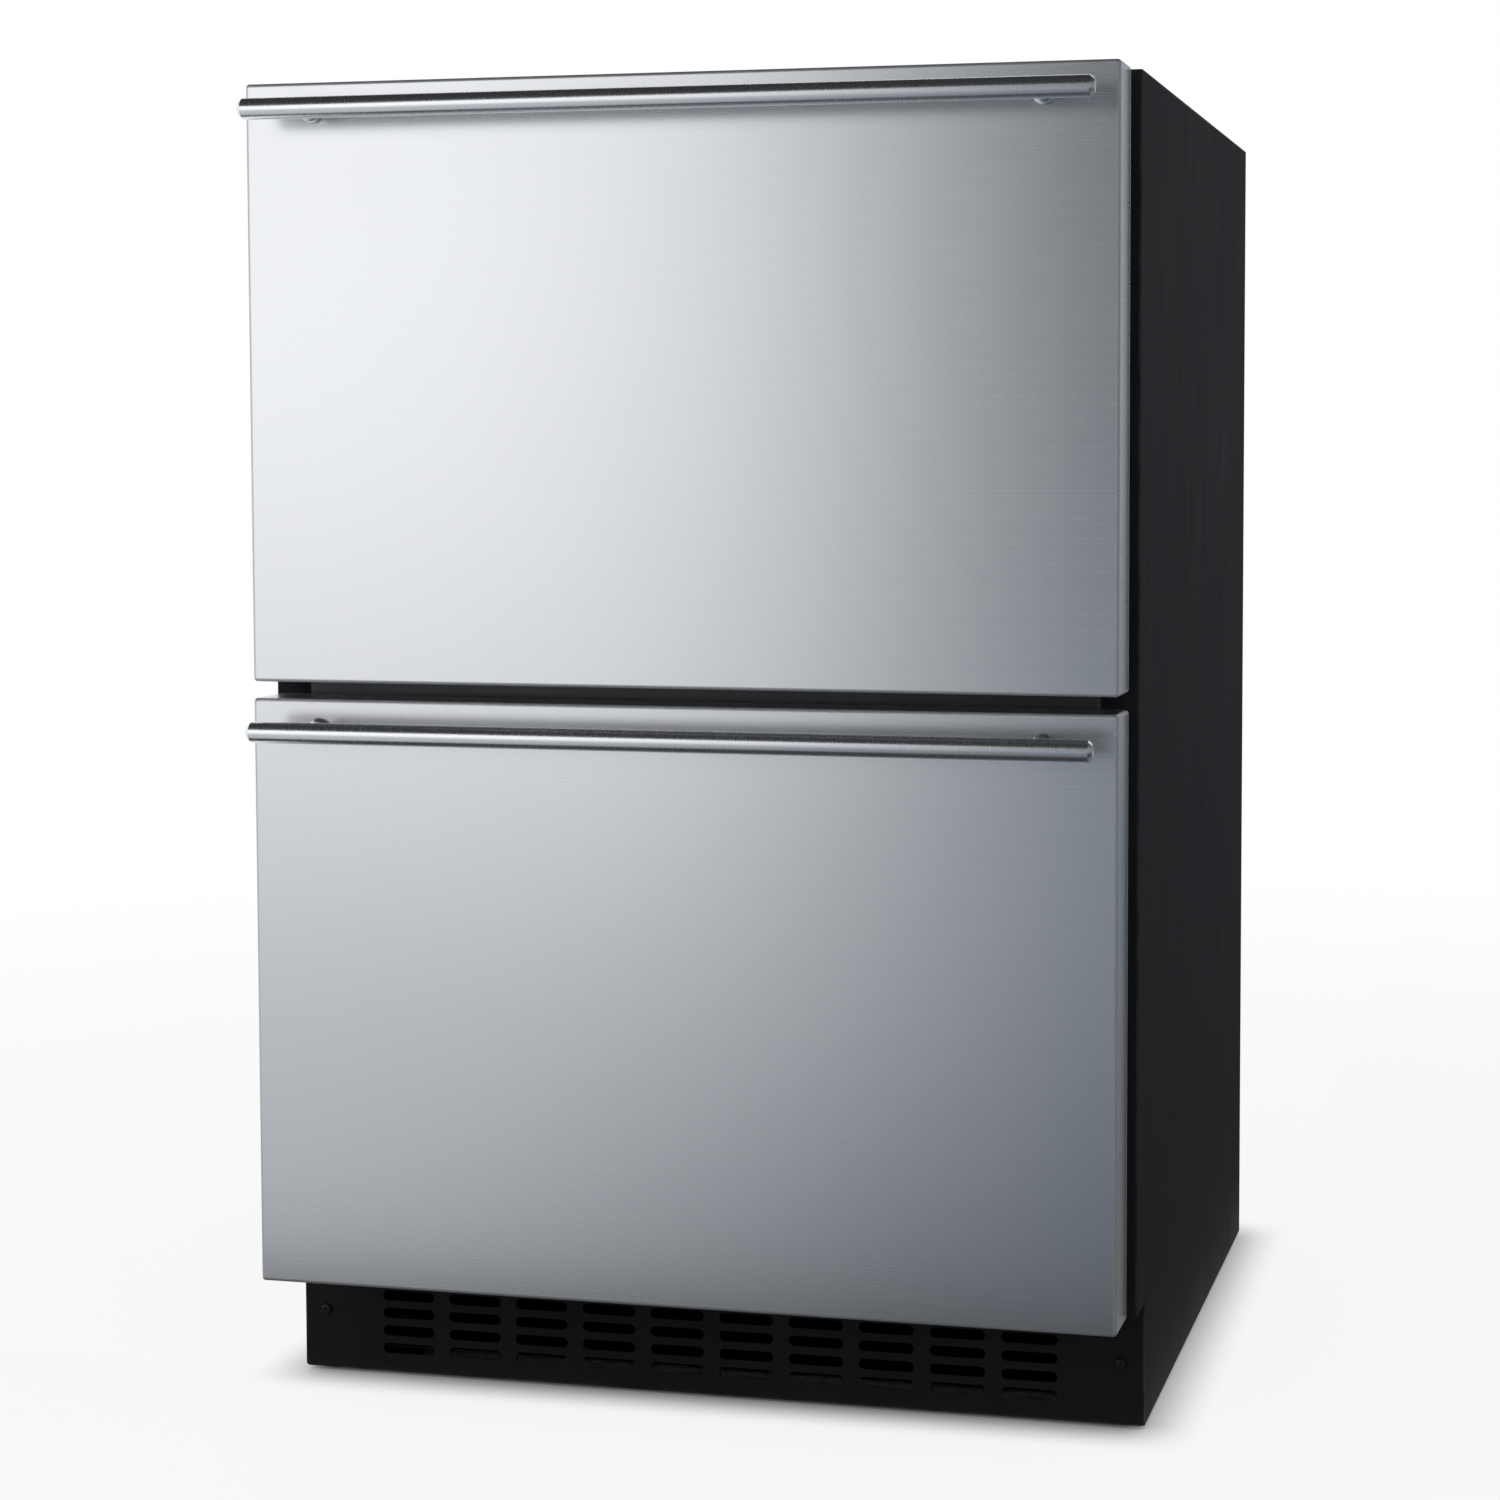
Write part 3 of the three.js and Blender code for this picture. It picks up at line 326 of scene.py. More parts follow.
def placed(axis, u, v, along):
    """A point from two coordinates across an axis and one along it."""
    point = [0.0, 0.0, 0.0]
    for index, value in zip(AXES[axis], (u, v, along)):
        point[index] = value
    return Vector(point)


def add_turned(bm, profile, centre, axis, steps=48):
    """A profile of (radius, place along the axis), turned round the axis through the centre."""
    rings = []
    for radius, along in profile:
        angles = [2 * math.pi * i / steps for i in range(steps)]
        rings.append([Vector(centre) + placed(axis, radius * math.cos(a), radius * math.sin(a), along)
                      for a in angles])
    add_rings(bm, rings)


def ring(axis, outline, along):
    """An outline across an axis, at one place along it. For Y the outline is given as (x, z)."""
    return [placed(axis, *(reversed(p) if axis == "Y" else p), along) for p in outline]


def add_drawn(bm, outline, axis, start, end):
    """An outline across an axis, drawn out along it."""
    add_rings(bm, [ring(axis, outline, start), ring(axis, outline, end)])


def rounded(width, height, radius, steps=6, centre=(0, 0)):
    """The points of a rectangle with round corners."""
    points = []
    for i, (sx, sy) in enumerate(((1, -1), (1, 1), (-1, 1), (-1, -1))):
        for k in range(steps + 1):
            a = math.pi / 2 * (i - 1 + k / steps)
            points.append((centre[0] + sx * (width / 2 - radius) + radius * math.cos(a),
                           centre[1] + sy * (height / 2 - radius) + radius * math.sin(a)))
    return points


def circle(x, y, radius, count=72):
    """The points of a circle."""
    angles = [2 * math.pi * i / count for i in range(count)]
    return [(x + radius * math.cos(a), y + radius * math.sin(a)) for a in angles]


# %% Rounding the edges and keeping the piece
def settle(obj):
    """Turns an object with modifiers into the plain mesh that they give."""
    graph = bpy.context.evaluated_depsgraph_get()
    mesh = bpy.data.meshes.new_from_object(obj.evaluated_get(graph), depsgraph=graph)
    mesh.name = obj.name
    obj.modifiers.clear()
    obj.data = mesh


def round_edges(obj, width, wall=0.0, even=True):
    """Gives a sheet its wall, rounds the edges of a piece and keeps its large faces flat."""
    if wall:
        solid = obj.modifiers.new("wall", "SOLIDIFY")
        solid.thickness, solid.offset, solid.use_even_offset = wall, -1, even
    if width:
        bevel = obj.modifiers.new("edges", "BEVEL")
        bevel.width, bevel.segments = width, 2
        bevel.limit_method, bevel.angle_limit = "ANGLE", math.radians(30)
    obj.modifiers.new("flat faces", "WEIGHTED_NORMAL").keep_sharp = True
    settle(obj)


def dress(obj, material, body, replaces=()):
    """Gives a finished piece its material and the body that it moves with, and hides the nodes it stands for."""
    obj.data.materials.clear()
    obj.data.materials.append(material)
    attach(obj, body)
    if replaces:
        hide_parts(*replaces)


def build(name, bm, material, body, replaces=(), width=0.3 * MM, wall=0.0, even=True, as_drawn=False):
    """A bmesh as a finished piece. Its faces are turned outwards, unless they stay as drawn."""
    bmesh.ops.delete(bm, geom=[v for v in bm.verts if not v.link_faces], context="VERTS")
    bmesh.ops.remove_doubles(bm, verts=bm.verts, dist=1e-6)
    if not as_drawn:
        bmesh.ops.recalc_face_normals(bm, faces=bm.faces)
    mesh = bpy.data.meshes.new(name)
    bm.to_mesh(mesh)
    bm.free()
    mesh.shade_smooth()
    obj = linked(name, mesh)
    round_edges(obj, width, wall, even)
    dress(obj, material, body, replaces)
    print(f"{name}: {len(obj.data.polygons)} faces")


def keep(node, material, width):
    """A CAD node whose shape is right stays; it gets its finish and softer edges."""
    obj = nodes[node]
    obj.data.materials.clear()
    obj.data.materials.append(material)
    obj.data.shade_smooth()
    obj.modifiers.new("joined", "WELD").merge_threshold = 1e-5
    bevel = obj.modifiers.new("edges", "BEVEL")
    bevel.width, bevel.segments, bevel.limit_method, bevel.angle_limit = width, 2, "ANGLE", math.radians(32)
    obj.modifiers.new("flat faces", "WEIGHTED_NORMAL").keep_sharp = True


# %% [markdown]
# ## The drawer fronts
#
# Each front is a shallow tray folded from one sheet: a flat face, a tight bend all round and returns
# of 39 mm towards the cabinet. It could be a bevelled block, but the open back and the 1 mm wall show
# when a drawer is pulled out, so it is a box without a back that gets its thickness afterwards.

# %% The drawer fronts
DRAWERS = ("lower", "upper")


def front_skin(prefix):
    low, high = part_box(f"{prefix}_front_skin")
    bm = bmesh.new()
    add_box(bm, low, high)
    at_back = lambda item: all(v.co.y > high.y - 1e-5 for v in item.verts)
    folds = [e for e in bm.edges if not at_back(e)]
    bmesh.ops.delete(bm, geom=[f for f in bm.faces if at_back(f)], context="FACES_ONLY")
    bmesh.ops.bevel(bm, geom=folds, offset=2.4 * MM, segments=5, profile=0.5, affect="EDGES")
    material = brushed_steel(f"{prefix} front steel", (low, high))
    build(f"{prefix}_steel_front", bm, material, f"{prefix}_drawer",
          [f"{prefix}_front_skin"], width=0.25 * MM, wall=1 * MM)


for prefix in DRAWERS:
    front_skin(prefix)

# %% [markdown]
# ## The bar handles
#
# A handle is a solid bar, turned on a lathe with a small cone at each end, on two short posts. The
# bar is polished round its length, so its scratches run round it. Turning a profile is the natural
# way, with enough steps for the reflection to run along it in clean lines.

# %% The bar handles
def bar_steel(name):
    f = Finish(name)
    lathe = f.noise(1.0, 3, (3400, 12, 12))
    cloud = f.noise(14.0, 3)
    tint = (lathe * 0.7 + cloud * 0.3).step(0.2, 0.8).blend((0.81, 0.82, 0.84, 1), (0.86, 0.87, 0.89, 1))
    return f.finish(tint, 0.27 + (lathe - 0.5) * 0.06 + (cloud - 0.5) * 0.05, lathe, 0.03, 0.3, 1.0)


def handle(prefix):
    low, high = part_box(f"{prefix}_handle_bar")
    centre, radius, half = (low + high) / 2, (high.z - low.z) / 2, (high.x - low.x) / 2
    cone = 2.2 * MM
    ends = [(0.0004, half - 1.6 * MM), (1.9 * MM, half - 0.4 * MM), (radius - cone - 0.4 * MM, half - 0.25 * MM),
            (radius - cone, half), (radius - 0.15 * MM, half - cone - 0.2 * MM), (radius, half - cone - 0.5 * MM)]
    profile = [(r, -x) for r, x in ends] + [(r, x) for r, x in reversed(ends)]
    bm = bmesh.new()
    add_turned(bm, profile, centre, "X", 72)
    steel = bar_steel(f"{prefix} bar steel")
    body = f"{prefix}_drawer"
    build(f"{prefix}_bar", bm, steel, body, [f"{prefix}_handle_bar"], width=0)
    for side in ("left", "right"):
        post = f"{prefix}_handle_post_{side}"
        low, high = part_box(post)
        middle, r = (low + high) / 2, (high.x - low.x) / 2
        foot = high.y
        collar, stem = r + 1.6 * MM, r - 0.7 * MM
        profile = [(0.0004, foot), (collar - 0.25 * MM, foot), (collar, foot - 0.25 * MM), (collar, foot - 1.4 * MM),
                   (collar - 0.5 * MM, foot - 1.9 * MM), (stem + 0.3 * MM, foot - 2.5 * MM), (stem, foot - 3.1 * MM),
                   (stem, centre.y + 6.2 * MM), (0.0004, centre.y + 6.2 * MM)]
        bm = bmesh.new()
        add_turned(bm, profile, (middle.x, 0, centre.z), "Y", 40)
        build(f"{prefix}_post_{side}", bm, steel, body, [post], width=0)


for prefix in DRAWERS:
    handle(prefix)

# %% [markdown]
# ## Four small node trees
#
# Slots, screws, fins and tubes repeat or follow a path, and that is what Geometry Nodes are
# for. Each tree has named inputs for its sizes. It is run once on an empty mesh, its result is kept as
# a plain mesh, and the modifier is taken away again, because the exported model knows no instances.

# %% Running a tree once
class Pattern(Graph):
    """A Geometry Nodes tree with named inputs."""

    KINDS = {float: "NodeSocketFloat", int: "NodeSocketInt", tuple: "NodeSocketVector",
             "object": "NodeSocketObject", "material": "NodeSocketMaterial"}

    def __init__(self, name, **inputs):
        super().__init__(bpy.data.node_groups.new(name, "GeometryNodeTree"))
        face = self.tree.interface
        face.new_socket("Geometry", in_out="OUTPUT", socket_type="NodeSocketGeometry")
        self.inputs = {}
        for label, kind in {**inputs, "finish": "material"}.items():
            self.inputs[label] = face.new_socket(label, in_out="INPUT", socket_type=self.KINDS[kind]).identifier
        self.source = self.tree.nodes.new("NodeGroupInput")

    def __getitem__(self, label):
        return Wire(self, self.source.outputs[label])

    def close(self, geometry):
        """Every tree ends in real geometry with a material."""
        real = self.add("GeometryNodeRealizeInstances", {}, {"Geometry": geometry})
        dressed = self.add("GeometryNodeSetMaterial", {}, {"Geometry": real, "Material": self["finish"]})
        self.add("NodeGroupOutput", {}, {0: dressed})

    def grow(self, name, **values):
        """Runs the tree once and keeps its result as a plain mesh."""
        obj = linked(name, bpy.data.meshes.new(name))
        modifier = obj.modifiers.new("pattern", "NODES")
        modifier.node_group = self.tree
        for label, value in values.items():
            modifier[self.inputs[label]] = value
        settle(obj)
        for value in values.values():
            if isinstance(value, bpy.types.Object):
                bpy.data.objects.remove(value)
        return obj


def drawing(points, edges=(), faces=()):
    """A helper object that a tree reads: loose points, lines or a small part."""
    mesh = bpy.data.meshes.new("drawing")
    mesh.from_pydata([tuple(p) for p in points], list(edges), list(faces))
    return linked("drawing", mesh)


def chain(points):
    """Points joined by lines in turn, as one drawing."""
    return drawing(points, [(i, i + 1) for i in range(len(points) - 1)])


def as_part(bm):
    """A bmesh as the helper object that a tree reads."""
    bmesh.ops.recalc_face_normals(bm, faces=bm.faces)
    mesh = bpy.data.meshes.new("part")
    bm.to_mesh(mesh)
    bm.free()
    return linked("part", mesh)


def loops(*outlines):
    """Closed outlines in the XY plane, as one drawing."""
    points, edges = [], []
    for outline in outlines:
        first = len(points)
        points += [(u, v, 0) for u, v in outline]
        edges += [(first + i, first + (i + 1) % len(outline)) for i in range(len(outline))]
    return drawing(points, edges)


# %% A tree that punches slots in a plate
plate = Pattern("slotted plate", width=float, height=float, thickness=float, corner=float, slot_length=float,
                slot_width=float, columns=int, rows=int, column_pitch=float, row_pitch=float, rise=float,
                holes="object", turn=tuple, place=tuple)


def round_rectangle(width, height, count, radius):
    """A rectangle's outline whose corners are arcs of count steps."""
    flat = plate.add("GeometryNodeCurvePrimitiveQuadrilateral", {}, {"Width": width, "Height": height})
    return plate.add("GeometryNodeFilletCurve", {"mode": "POLY"}, {"Curve": flat, "Count": count, "Radius": radius})


outer = round_rectangle(plate["width"], plate["height"], 5, plate["corner"])
slot = round_rectangle(plate["slot_length"], plate["slot_width"], 7, plate["slot_width"] * 0.499)
spots = plate.add("GeometryNodeMeshGrid", {}, {
    "Size X": plate["column_pitch"] * (plate["columns"] - 1), "Size Y": plate["row_pitch"] * (plate["rows"] - 1),
    "Vertices X": plate["columns"], "Vertices Y": plate["rows"]})
moved = plate.add("GeometryNodeTransform", {}, {
    "Geometry": spots, "Translation": plate.add("ShaderNodeCombineXYZ", {}, {"Y": plate["rise"]})})
slots = plate.add("GeometryNodeRealizeInstances", {}, {
    "Geometry": plate.add("GeometryNodeInstanceOnPoints", {}, {"Points": moved, "Instance": slot})})
extra = plate.add("GeometryNodeMeshToCurve", {}, {
    "Mesh": plate.add("GeometryNodeObjectInfo", {}, {"Object": plate["holes"]}, "Geometry")})
lines = plate.add("GeometryNodeJoinGeometry", {}, {"Geometry": [outer, slots, extra]})
face = plate.add("GeometryNodeFillCurve", {"mode": "NGONS"}, {"Curve": lines})
raised = plate.add("GeometryNodeExtrudeMesh", {}, {
    "Mesh": face, "Offset": (0.0, 0.0, 1.0), "Offset Scale": plate["thickness"], "Individual": False})
body = plate.add("GeometryNodeJoinGeometry", {}, {
    "Geometry": [plate.add("GeometryNodeFlipFaces", {}, {"Mesh": face}), raised]})
closed = plate.add("GeometryNodeMergeByDistance", {}, {"Geometry": body, "Distance": 1e-6})
plate.close(plate.add("GeometryNodeTransform", {}, {
    "Geometry": closed, "Rotation": plate["turn"], "Translation": plate["place"]}))
print("slotted plate:", len(plate.tree.nodes), "nodes")

# %% Trees that set a part on points or in a row, and lay a tube along a path
scatter = Pattern("parts on points", points="object", part="object")
scatter.close(scatter.add("GeometryNodeInstanceOnPoints", {}, {
    "Points": scatter.add("GeometryNodeObjectInfo", {}, {"Object": scatter["points"]}, "Geometry"),
    "Instance": scatter.add("GeometryNodeObjectInfo", {}, {"Object": scatter["part"]}, "Geometry")}))

row = Pattern("a row of parts", part="object", count=int, start=tuple, step=tuple)
row.close(row.add("GeometryNodeInstanceOnPoints", {}, {
    "Points": row.add("GeometryNodeMeshLine", {}, {
        "Count": row["count"], "Start Location": row["start"], "Offset": row["step"]}),
    "Instance": row.add("GeometryNodeObjectInfo", {}, {"Object": row["part"]}, "Geometry")}))


tube = Pattern("bent tube", path="object", bend=float, radius=float)
line = tube.add("GeometryNodeMeshToCurve", {}, {
    "Mesh": tube.add("GeometryNodeObjectInfo", {}, {"Object": tube["path"]}, "Geometry")})
bent = tube.add("GeometryNodeFilletCurve", {"mode": "POLY"}, {
    "Curve": line, "Count": 6, "Radius": tube["bend"], "Limit Radius": True})
tube.close(tube.add("GeometryNodeCurveToMesh", {}, {
    "Curve": bent, "Fill Caps": True,
    "Profile Curve": tube.add("GeometryNodeCurvePrimitiveCircle", {}, {"Resolution": 12, "Radius": tube["radius"]})}))
print("trees:", [group.name for group in bpy.data.node_groups])


def adopt(obj, material, body, replaces=(), width=0.0, wall=0.0):
    """The last steps for what a tree has grown: its edges, its finish, its body."""
    bm = bmesh.new()
    bm.from_mesh(obj.data)
    bmesh.ops.remove_doubles(bm, verts=bm.verts, dist=1e-6)
    bmesh.ops.recalc_face_normals(bm, faces=bm.faces)
    bm.to_mesh(obj.data)
    bm.free()
    obj.data.shade_smooth()
    round_edges(obj, width, wall)
    dress(obj, material, body, replaces)
    print(f"{obj.name}: {len(obj.data.polygons)} faces")


# %% [markdown]
# ## The kick plate
#
# A painted plate with ten columns of five slots lets the machinery breathe. Cutting fifty slots with
# booleans is slow and leaves rough edges. The plate tree draws the outline and the slots as curves,
# fills them in one go and gives the sheet its thickness.

# %% The kick plate
ACROSS = (math.pi / 2, 0.0, 0.0)


def kick_plate():
    low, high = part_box("kick_grille")
    finish = coated("kick plate paint", (low, high), grey(0.0075, 0.001), patch=grey(0.011, 0.001), rough=0.58,
                    Specular_IOR_Level=0.14)
    cabinet, margin, length, columns = 597 * MM, 58.5 * MM, 38 * MM, 10
    grown = plate.grow("kick_plate", width=high.x - low.x, height=high.z - low.z, thickness=high.y - low.y,
                       corner=2.5 * MM, slot_length=length, slot_width=7 * MM, columns=columns, rows=5,
                       column_pitch=(cabinet - 2 * margin - length) / (columns - 1), row_pitch=12.5 * MM, rise=0.0,
                       finish=finish, turn=ACROSS, place=(0.0, high.y, (low.z + high.z) / 2))
    adopt(grown, finish, "cabinet", ["kick_grille"], width=0.35 * MM)


kick_plate()

# %% [markdown]
# ## The screws
#
# Pan-head screws with a cross recess hold the sheets. One head is modelled: a low dome of revolution
# with four sunken wedges. It is set on points wherever the object has such a screw.

# %% One screw head, and screws on points
def screw_head(radius, height, axis, sign):
    """A domed head that looks along sign times the axis, with a cross pressed into it."""
    steps = 32
    profile = [(1.0, 0.0), (1.0, 0.35), (0.93, 0.6), (0.8, 0.78), (0.62, 0.9), (0.45, 0.96)]
    angles = [2 * math.pi * i / steps for i in range(steps)]
    rings = [[(radius * r * math.cos(a), radius * r * math.sin(a), height * h) for a in angles] for r, h in profile]
    reaches = [0.42 if abs(math.cos(2 * a)) > 0.93 else 0.13 for a in angles]
    cross = [(radius * reach * math.cos(a), radius * reach * math.sin(a), height * 0.97)
             for a, reach in zip(angles, reaches)]
    deep = [(x * 0.8, y * 0.8, height * 0.35) for x, y, _ in cross]
    points = [placed(axis, p[0], p[1], p[2] * sign) for ring in rings + [cross, deep] for p in ring]
    faces = []
    for k in range(len(rings) + 1):
        for i in range(steps):
            j = (i + 1) % steps
            faces.append((k * steps + i, k * steps + j, (k + 1) * steps + j, (k + 1) * steps + i))
    faces.append(tuple(range((len(rings) + 1) * steps, (len(rings) + 2) * steps)))
    faces.append(tuple(reversed(range(steps))))
    return drawing(points, faces=faces)


black_screw = coated("black screw", (Vector((-1, -1, -1)), Vector((1, 1, 1))), rough=0.34)


def screws(name, spots, radius, height, axis, sign, replaces=()):
    """Screw heads on points of the cabinet, as one piece."""
    grown = scatter.grow(name, points=drawing(spots), part=screw_head(radius, height, axis, sign), finish=black_screw)
    adopt(grown, black_screw, "cabinet", replaces)


for side in ("left", "right"):
    low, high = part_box(f"kick_screw_{side}")
    centre, height = (low + high) / 2, 2.4 * MM
    screws(f"kick_screw_head_{side}", [(centre.x, low.y + height, centre.z)], (high.x - low.x) / 2, height, "Y", -1,
           [f"kick_screw_{side}"])

# %% [markdown]
# ## The cabinet's folded sheets
#
# Each side is one painted sheet with a narrow return at the front and a notch for the toe space. Real
# sheet bends with about its own thickness as radius, and that soft line along an edge tells a sheet
# from a block. So a sheet is a strip of faces that follows the fold. The notch is a few faces left
# out, and Solidify gives the wall.

# %% Paths with round corners, and sheets folded along them
def rounded_path(points, radius, steps=4, closed=False):
    """Straight runs whose corners are arcs."""
    count, path = len(points), []
    for i, corner in enumerate(points):
        if not closed and i in (0, count - 1):
            path.append(Vector(corner))
            continue
        before, here, after = (Vector(points[j % count]) for j in (i - 1, i, i + 1))
        u, w = before - here, after - here
        half = u.angle(w) / 2
        reach = min(radius / math.tan(half), u.length * 0.48, w.length * 0.48)
        centre = here + (u.normalized() + w.normalized()).normalized() * (reach / math.cos(half))
        start, end = here + u.normalized() * reach - centre, here + w.normalized() * reach - centre
        path += [centre + start.slerp(end, k / steps).normalized() * start.length for k in range(steps + 1)]
    return path


def add_fold(bm, path, axis, levels, cut=None):
    """A sheet along a path across an axis, between levels along it; cut says which faces are left out."""
    rows = [[bm.verts.new(placed(axis, *p, along)) for p in path] for along in levels]
    for low, high in zip(rows, rows[1:]):
        for i in range(len(path) - 1):
            corners = low[i], low[i + 1], high[i + 1], high[i]
            if not (cut and cut(sum((v.co for v in corners), Vector()) / 4)):
                bm.faces.new(corners)


def add_loft(bm, axis, centre, levels, steps=6, closed_path=False):
    """Round rectangles, each given as (width, height, corner radius, place), joined in turn."""
    add_rings(bm, [ring(axis, rounded(w, h, r, steps, centre), along) for w, h, r, along in levels], closed_path)


def carrier(node):
    """The body that a CAD node moves with."""
    return nodes[node].parent.name.removeprefix("body:")


# %% The sides and the top
TOE_TOP, TOE_BACK, FLANGE = 86 * MM, -193.0 * MM, 273.2 * MM


def side_panel(side, sign):
    low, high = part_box(f"{side}_side_panel")
    outside, edge = (high.x, low.x) if sign > 0 else (low.x, high.x)
    path = rounded_path([(edge, low.y), (outside, low.y), (outside, high.y)], 1.6 * MM)
    path.insert(-1, Vector((outside, TOE_BACK)))
    bm = bmesh.new()
    add_fold(bm, path[::sign], "Z", [low.z, TOE_TOP, high.z], lambda c: c.z < TOE_TOP and c.y < TOE_BACK)
    paint = coated(f"{side} side paint", (low, high), grey(0.009, 0.003), patch=grey(0.014, 0.004), rough=0.7,
                   Specular_IOR_Level=0.12)
    build(f"{side}_side_sheet", bm, paint, "cabinet", [f"{side}_side_panel"], width=0,
          wall=1 * MM, as_drawn=True)


def top_panel():
    low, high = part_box("top_panel")
    sheet = high.z - 0.6 * MM
    path = rounded_path([(high.y, sheet), (low.y, sheet), (low.y, low.z)], 1.6 * MM)
    bm = bmesh.new()
    add_fold(bm, path, "X", [low.x, -FLANGE, FLANGE, high.x],
             lambda c: abs(c.x) > FLANGE and c.z < sheet - 2 * MM)
    paint = coated("top paint", (low, high), Specular_IOR_Level=0.4)
    build("top_sheet", bm, paint, "cabinet", ["top_panel"], width=0, wall=1 * MM, as_drawn=True)
    spots = [(x, y, sheet) for x in (-0.280, 0.280) for y in (low.y + 0.05, 0.04, high.y - 0.02)]
    spots += [(x, high.y - 0.02, sheet) for x in (-0.1, 0.1)]
    screws("top_screws", spots, 4 * MM, 0.6 * MM, "Z", 1)


side_panel("left", -1)
side_panel("right", 1)
top_panel()

# %% [markdown]
# ## The back of the cabinet
#
# The back sheet is stiffened by long beads, pressed outwards by less than a millimetre, and screwed
# along its edges. The sheet is folded like the sides. A bead is a low loft that sits on it, because
# cutting it into the sheet would need many more faces. Beads and screws repeat, so trees set them out.

# %% The back sheet
def bead(length, height, rise):
    """A long pressed bead that stands out by rise, as a part for a tree."""
    bm = bmesh.new()
    steps = ((0, -0.4), (0, 0), (0.6, 0.1), (2.4, 0.62), (3.6, 0.88), (5.0, 1.0))
    add_loft(bm, "Y", (0, 0), [(length - 2 * i * MM, height - 2 * i * MM, height / 2 - i * MM - 0.1 * MM, rise * r)
                               for i, r in steps], 5)
    return as_part(bm)


def back_panel():
    low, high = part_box("back_panel")
    sheet = high.y - 0.8 * MM
    path = rounded_path([(high.x, sheet - 9 * MM), (high.x, sheet), (low.x, sheet), (low.x, sheet - 9 * MM)], 1.5 * MM)
    bm = bmesh.new()
    add_fold(bm, path, "Z", [low.z, high.z])
    paint = coated("back paint", (low, high), peel=900.0, rough=0.42, Specular_IOR_Level=0.5)
    build("back_sheet", bm, paint, "cabinet", ["back_panel"], width=0, wall=1 * MM, as_drawn=True)
    grown = row.grow("back_beads", part=bead(0.46, 0.018, 0.8 * MM), count=5, start=(0.0, sheet, 0.375),
                     step=(0.0, 0.0, 0.11), finish=paint)
    adopt(grown, paint, "cabinet")
    spots = [(x, sheet, z) for x in (-0.285, 0.285) for z in (0.31, 0.49, 0.68, 0.87)]
    spots += [(x, sheet, 0.875) for x in (-0.1, 0.1)]
    screws("back_screws", spots, 4 * MM, 0.8 * MM, "Y", 1)


back_panel()

# %% [markdown]
# ## The cover of the machine space
#
# Below the back sheet, a removable cover with louvres lets the machine space breathe. A louvre is a
# slot with a hood pressed inwards behind it. The plate tree punches the slots and the opening for the
# cord inlet, and one hood is set behind every slot. The inlet is a loft that steps in to its floor.

# %% The louvred cover and the cord inlet
def louvre_hood(length, height, depth, columns=14, rows=5):
    """A scoop that starts at the top edge of a slot and ends behind its lower edge."""
    points = []
    for j in range(rows):
        t = j / (rows - 1)
        for i in range(columns + 1):
            u = 2 * i / columns - 1
            sink = depth * math.sin(t * math.pi / 2) * (1 - u ** 8)
            points.append((u * length / 2, -sink - 0.2 * MM, height / 2 + 0.4 * MM - t * (height + 1.2 * MM)))
    faces = [(k + i, k + i + 1, k + i + columns + 2, k + i + columns + 1)
             for k in range(0, (rows - 1) * (columns + 1), columns + 1) for i in range(columns)]
    return drawing(points, faces=faces)


def rear_cover():
    low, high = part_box("rear_machine_cover")
    inlet_low, inlet_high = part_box("cord_inlet")
    inlet = (inlet_low + inlet_high) / 2
    middle, sheet = (low.z + high.z) / 2, high.y - 0.8 * MM
    paint = coated("rear cover paint", (low, high), peel=900.0, rough=0.42, Specular_IOR_Level=0.5)
    opening = rounded(28.6 * MM, 22.6 * MM, 1.5 * MM, 4, (inlet.x, inlet.z - middle))
    columns, rows, across, down, vents = 3, 8, 156 * MM, 18 * MM, 168 * MM
    grown = plate.grow("rear_cover", width=high.x - low.x, height=high.z - low.z, thickness=1 * MM, corner=3 * MM,
                       slot_length=120 * MM, slot_width=6 * MM, columns=columns, rows=rows, column_pitch=across,
                       row_pitch=down, rise=vents - middle, holes=loops(opening), finish=paint,
                       turn=ACROSS, place=(0.0, sheet, middle))
    adopt(grown, paint, "cabinet", ["rear_machine_cover"], width=0.25 * MM)
    spots = [((i - (columns - 1) / 2) * across, sheet - 1 * MM, vents + (k - (rows - 1) / 2) * down)
             for i in range(columns) for k in range(rows)]
    grown = scatter.grow("louvre_hoods", points=drawing(spots), part=louvre_hood(119 * MM, 6 * MM, 5 * MM),
                         finish=paint)
    adopt(grown, paint, "cabinet", wall=0.8 * MM)
    spots = [(x, sheet, z) for x in (-0.285, 0, 0.285) for z in (0.032, 0.278)]
    screws("rear_cover_screws", spots, 4 * MM, 0.8 * MM, "Y", 1)


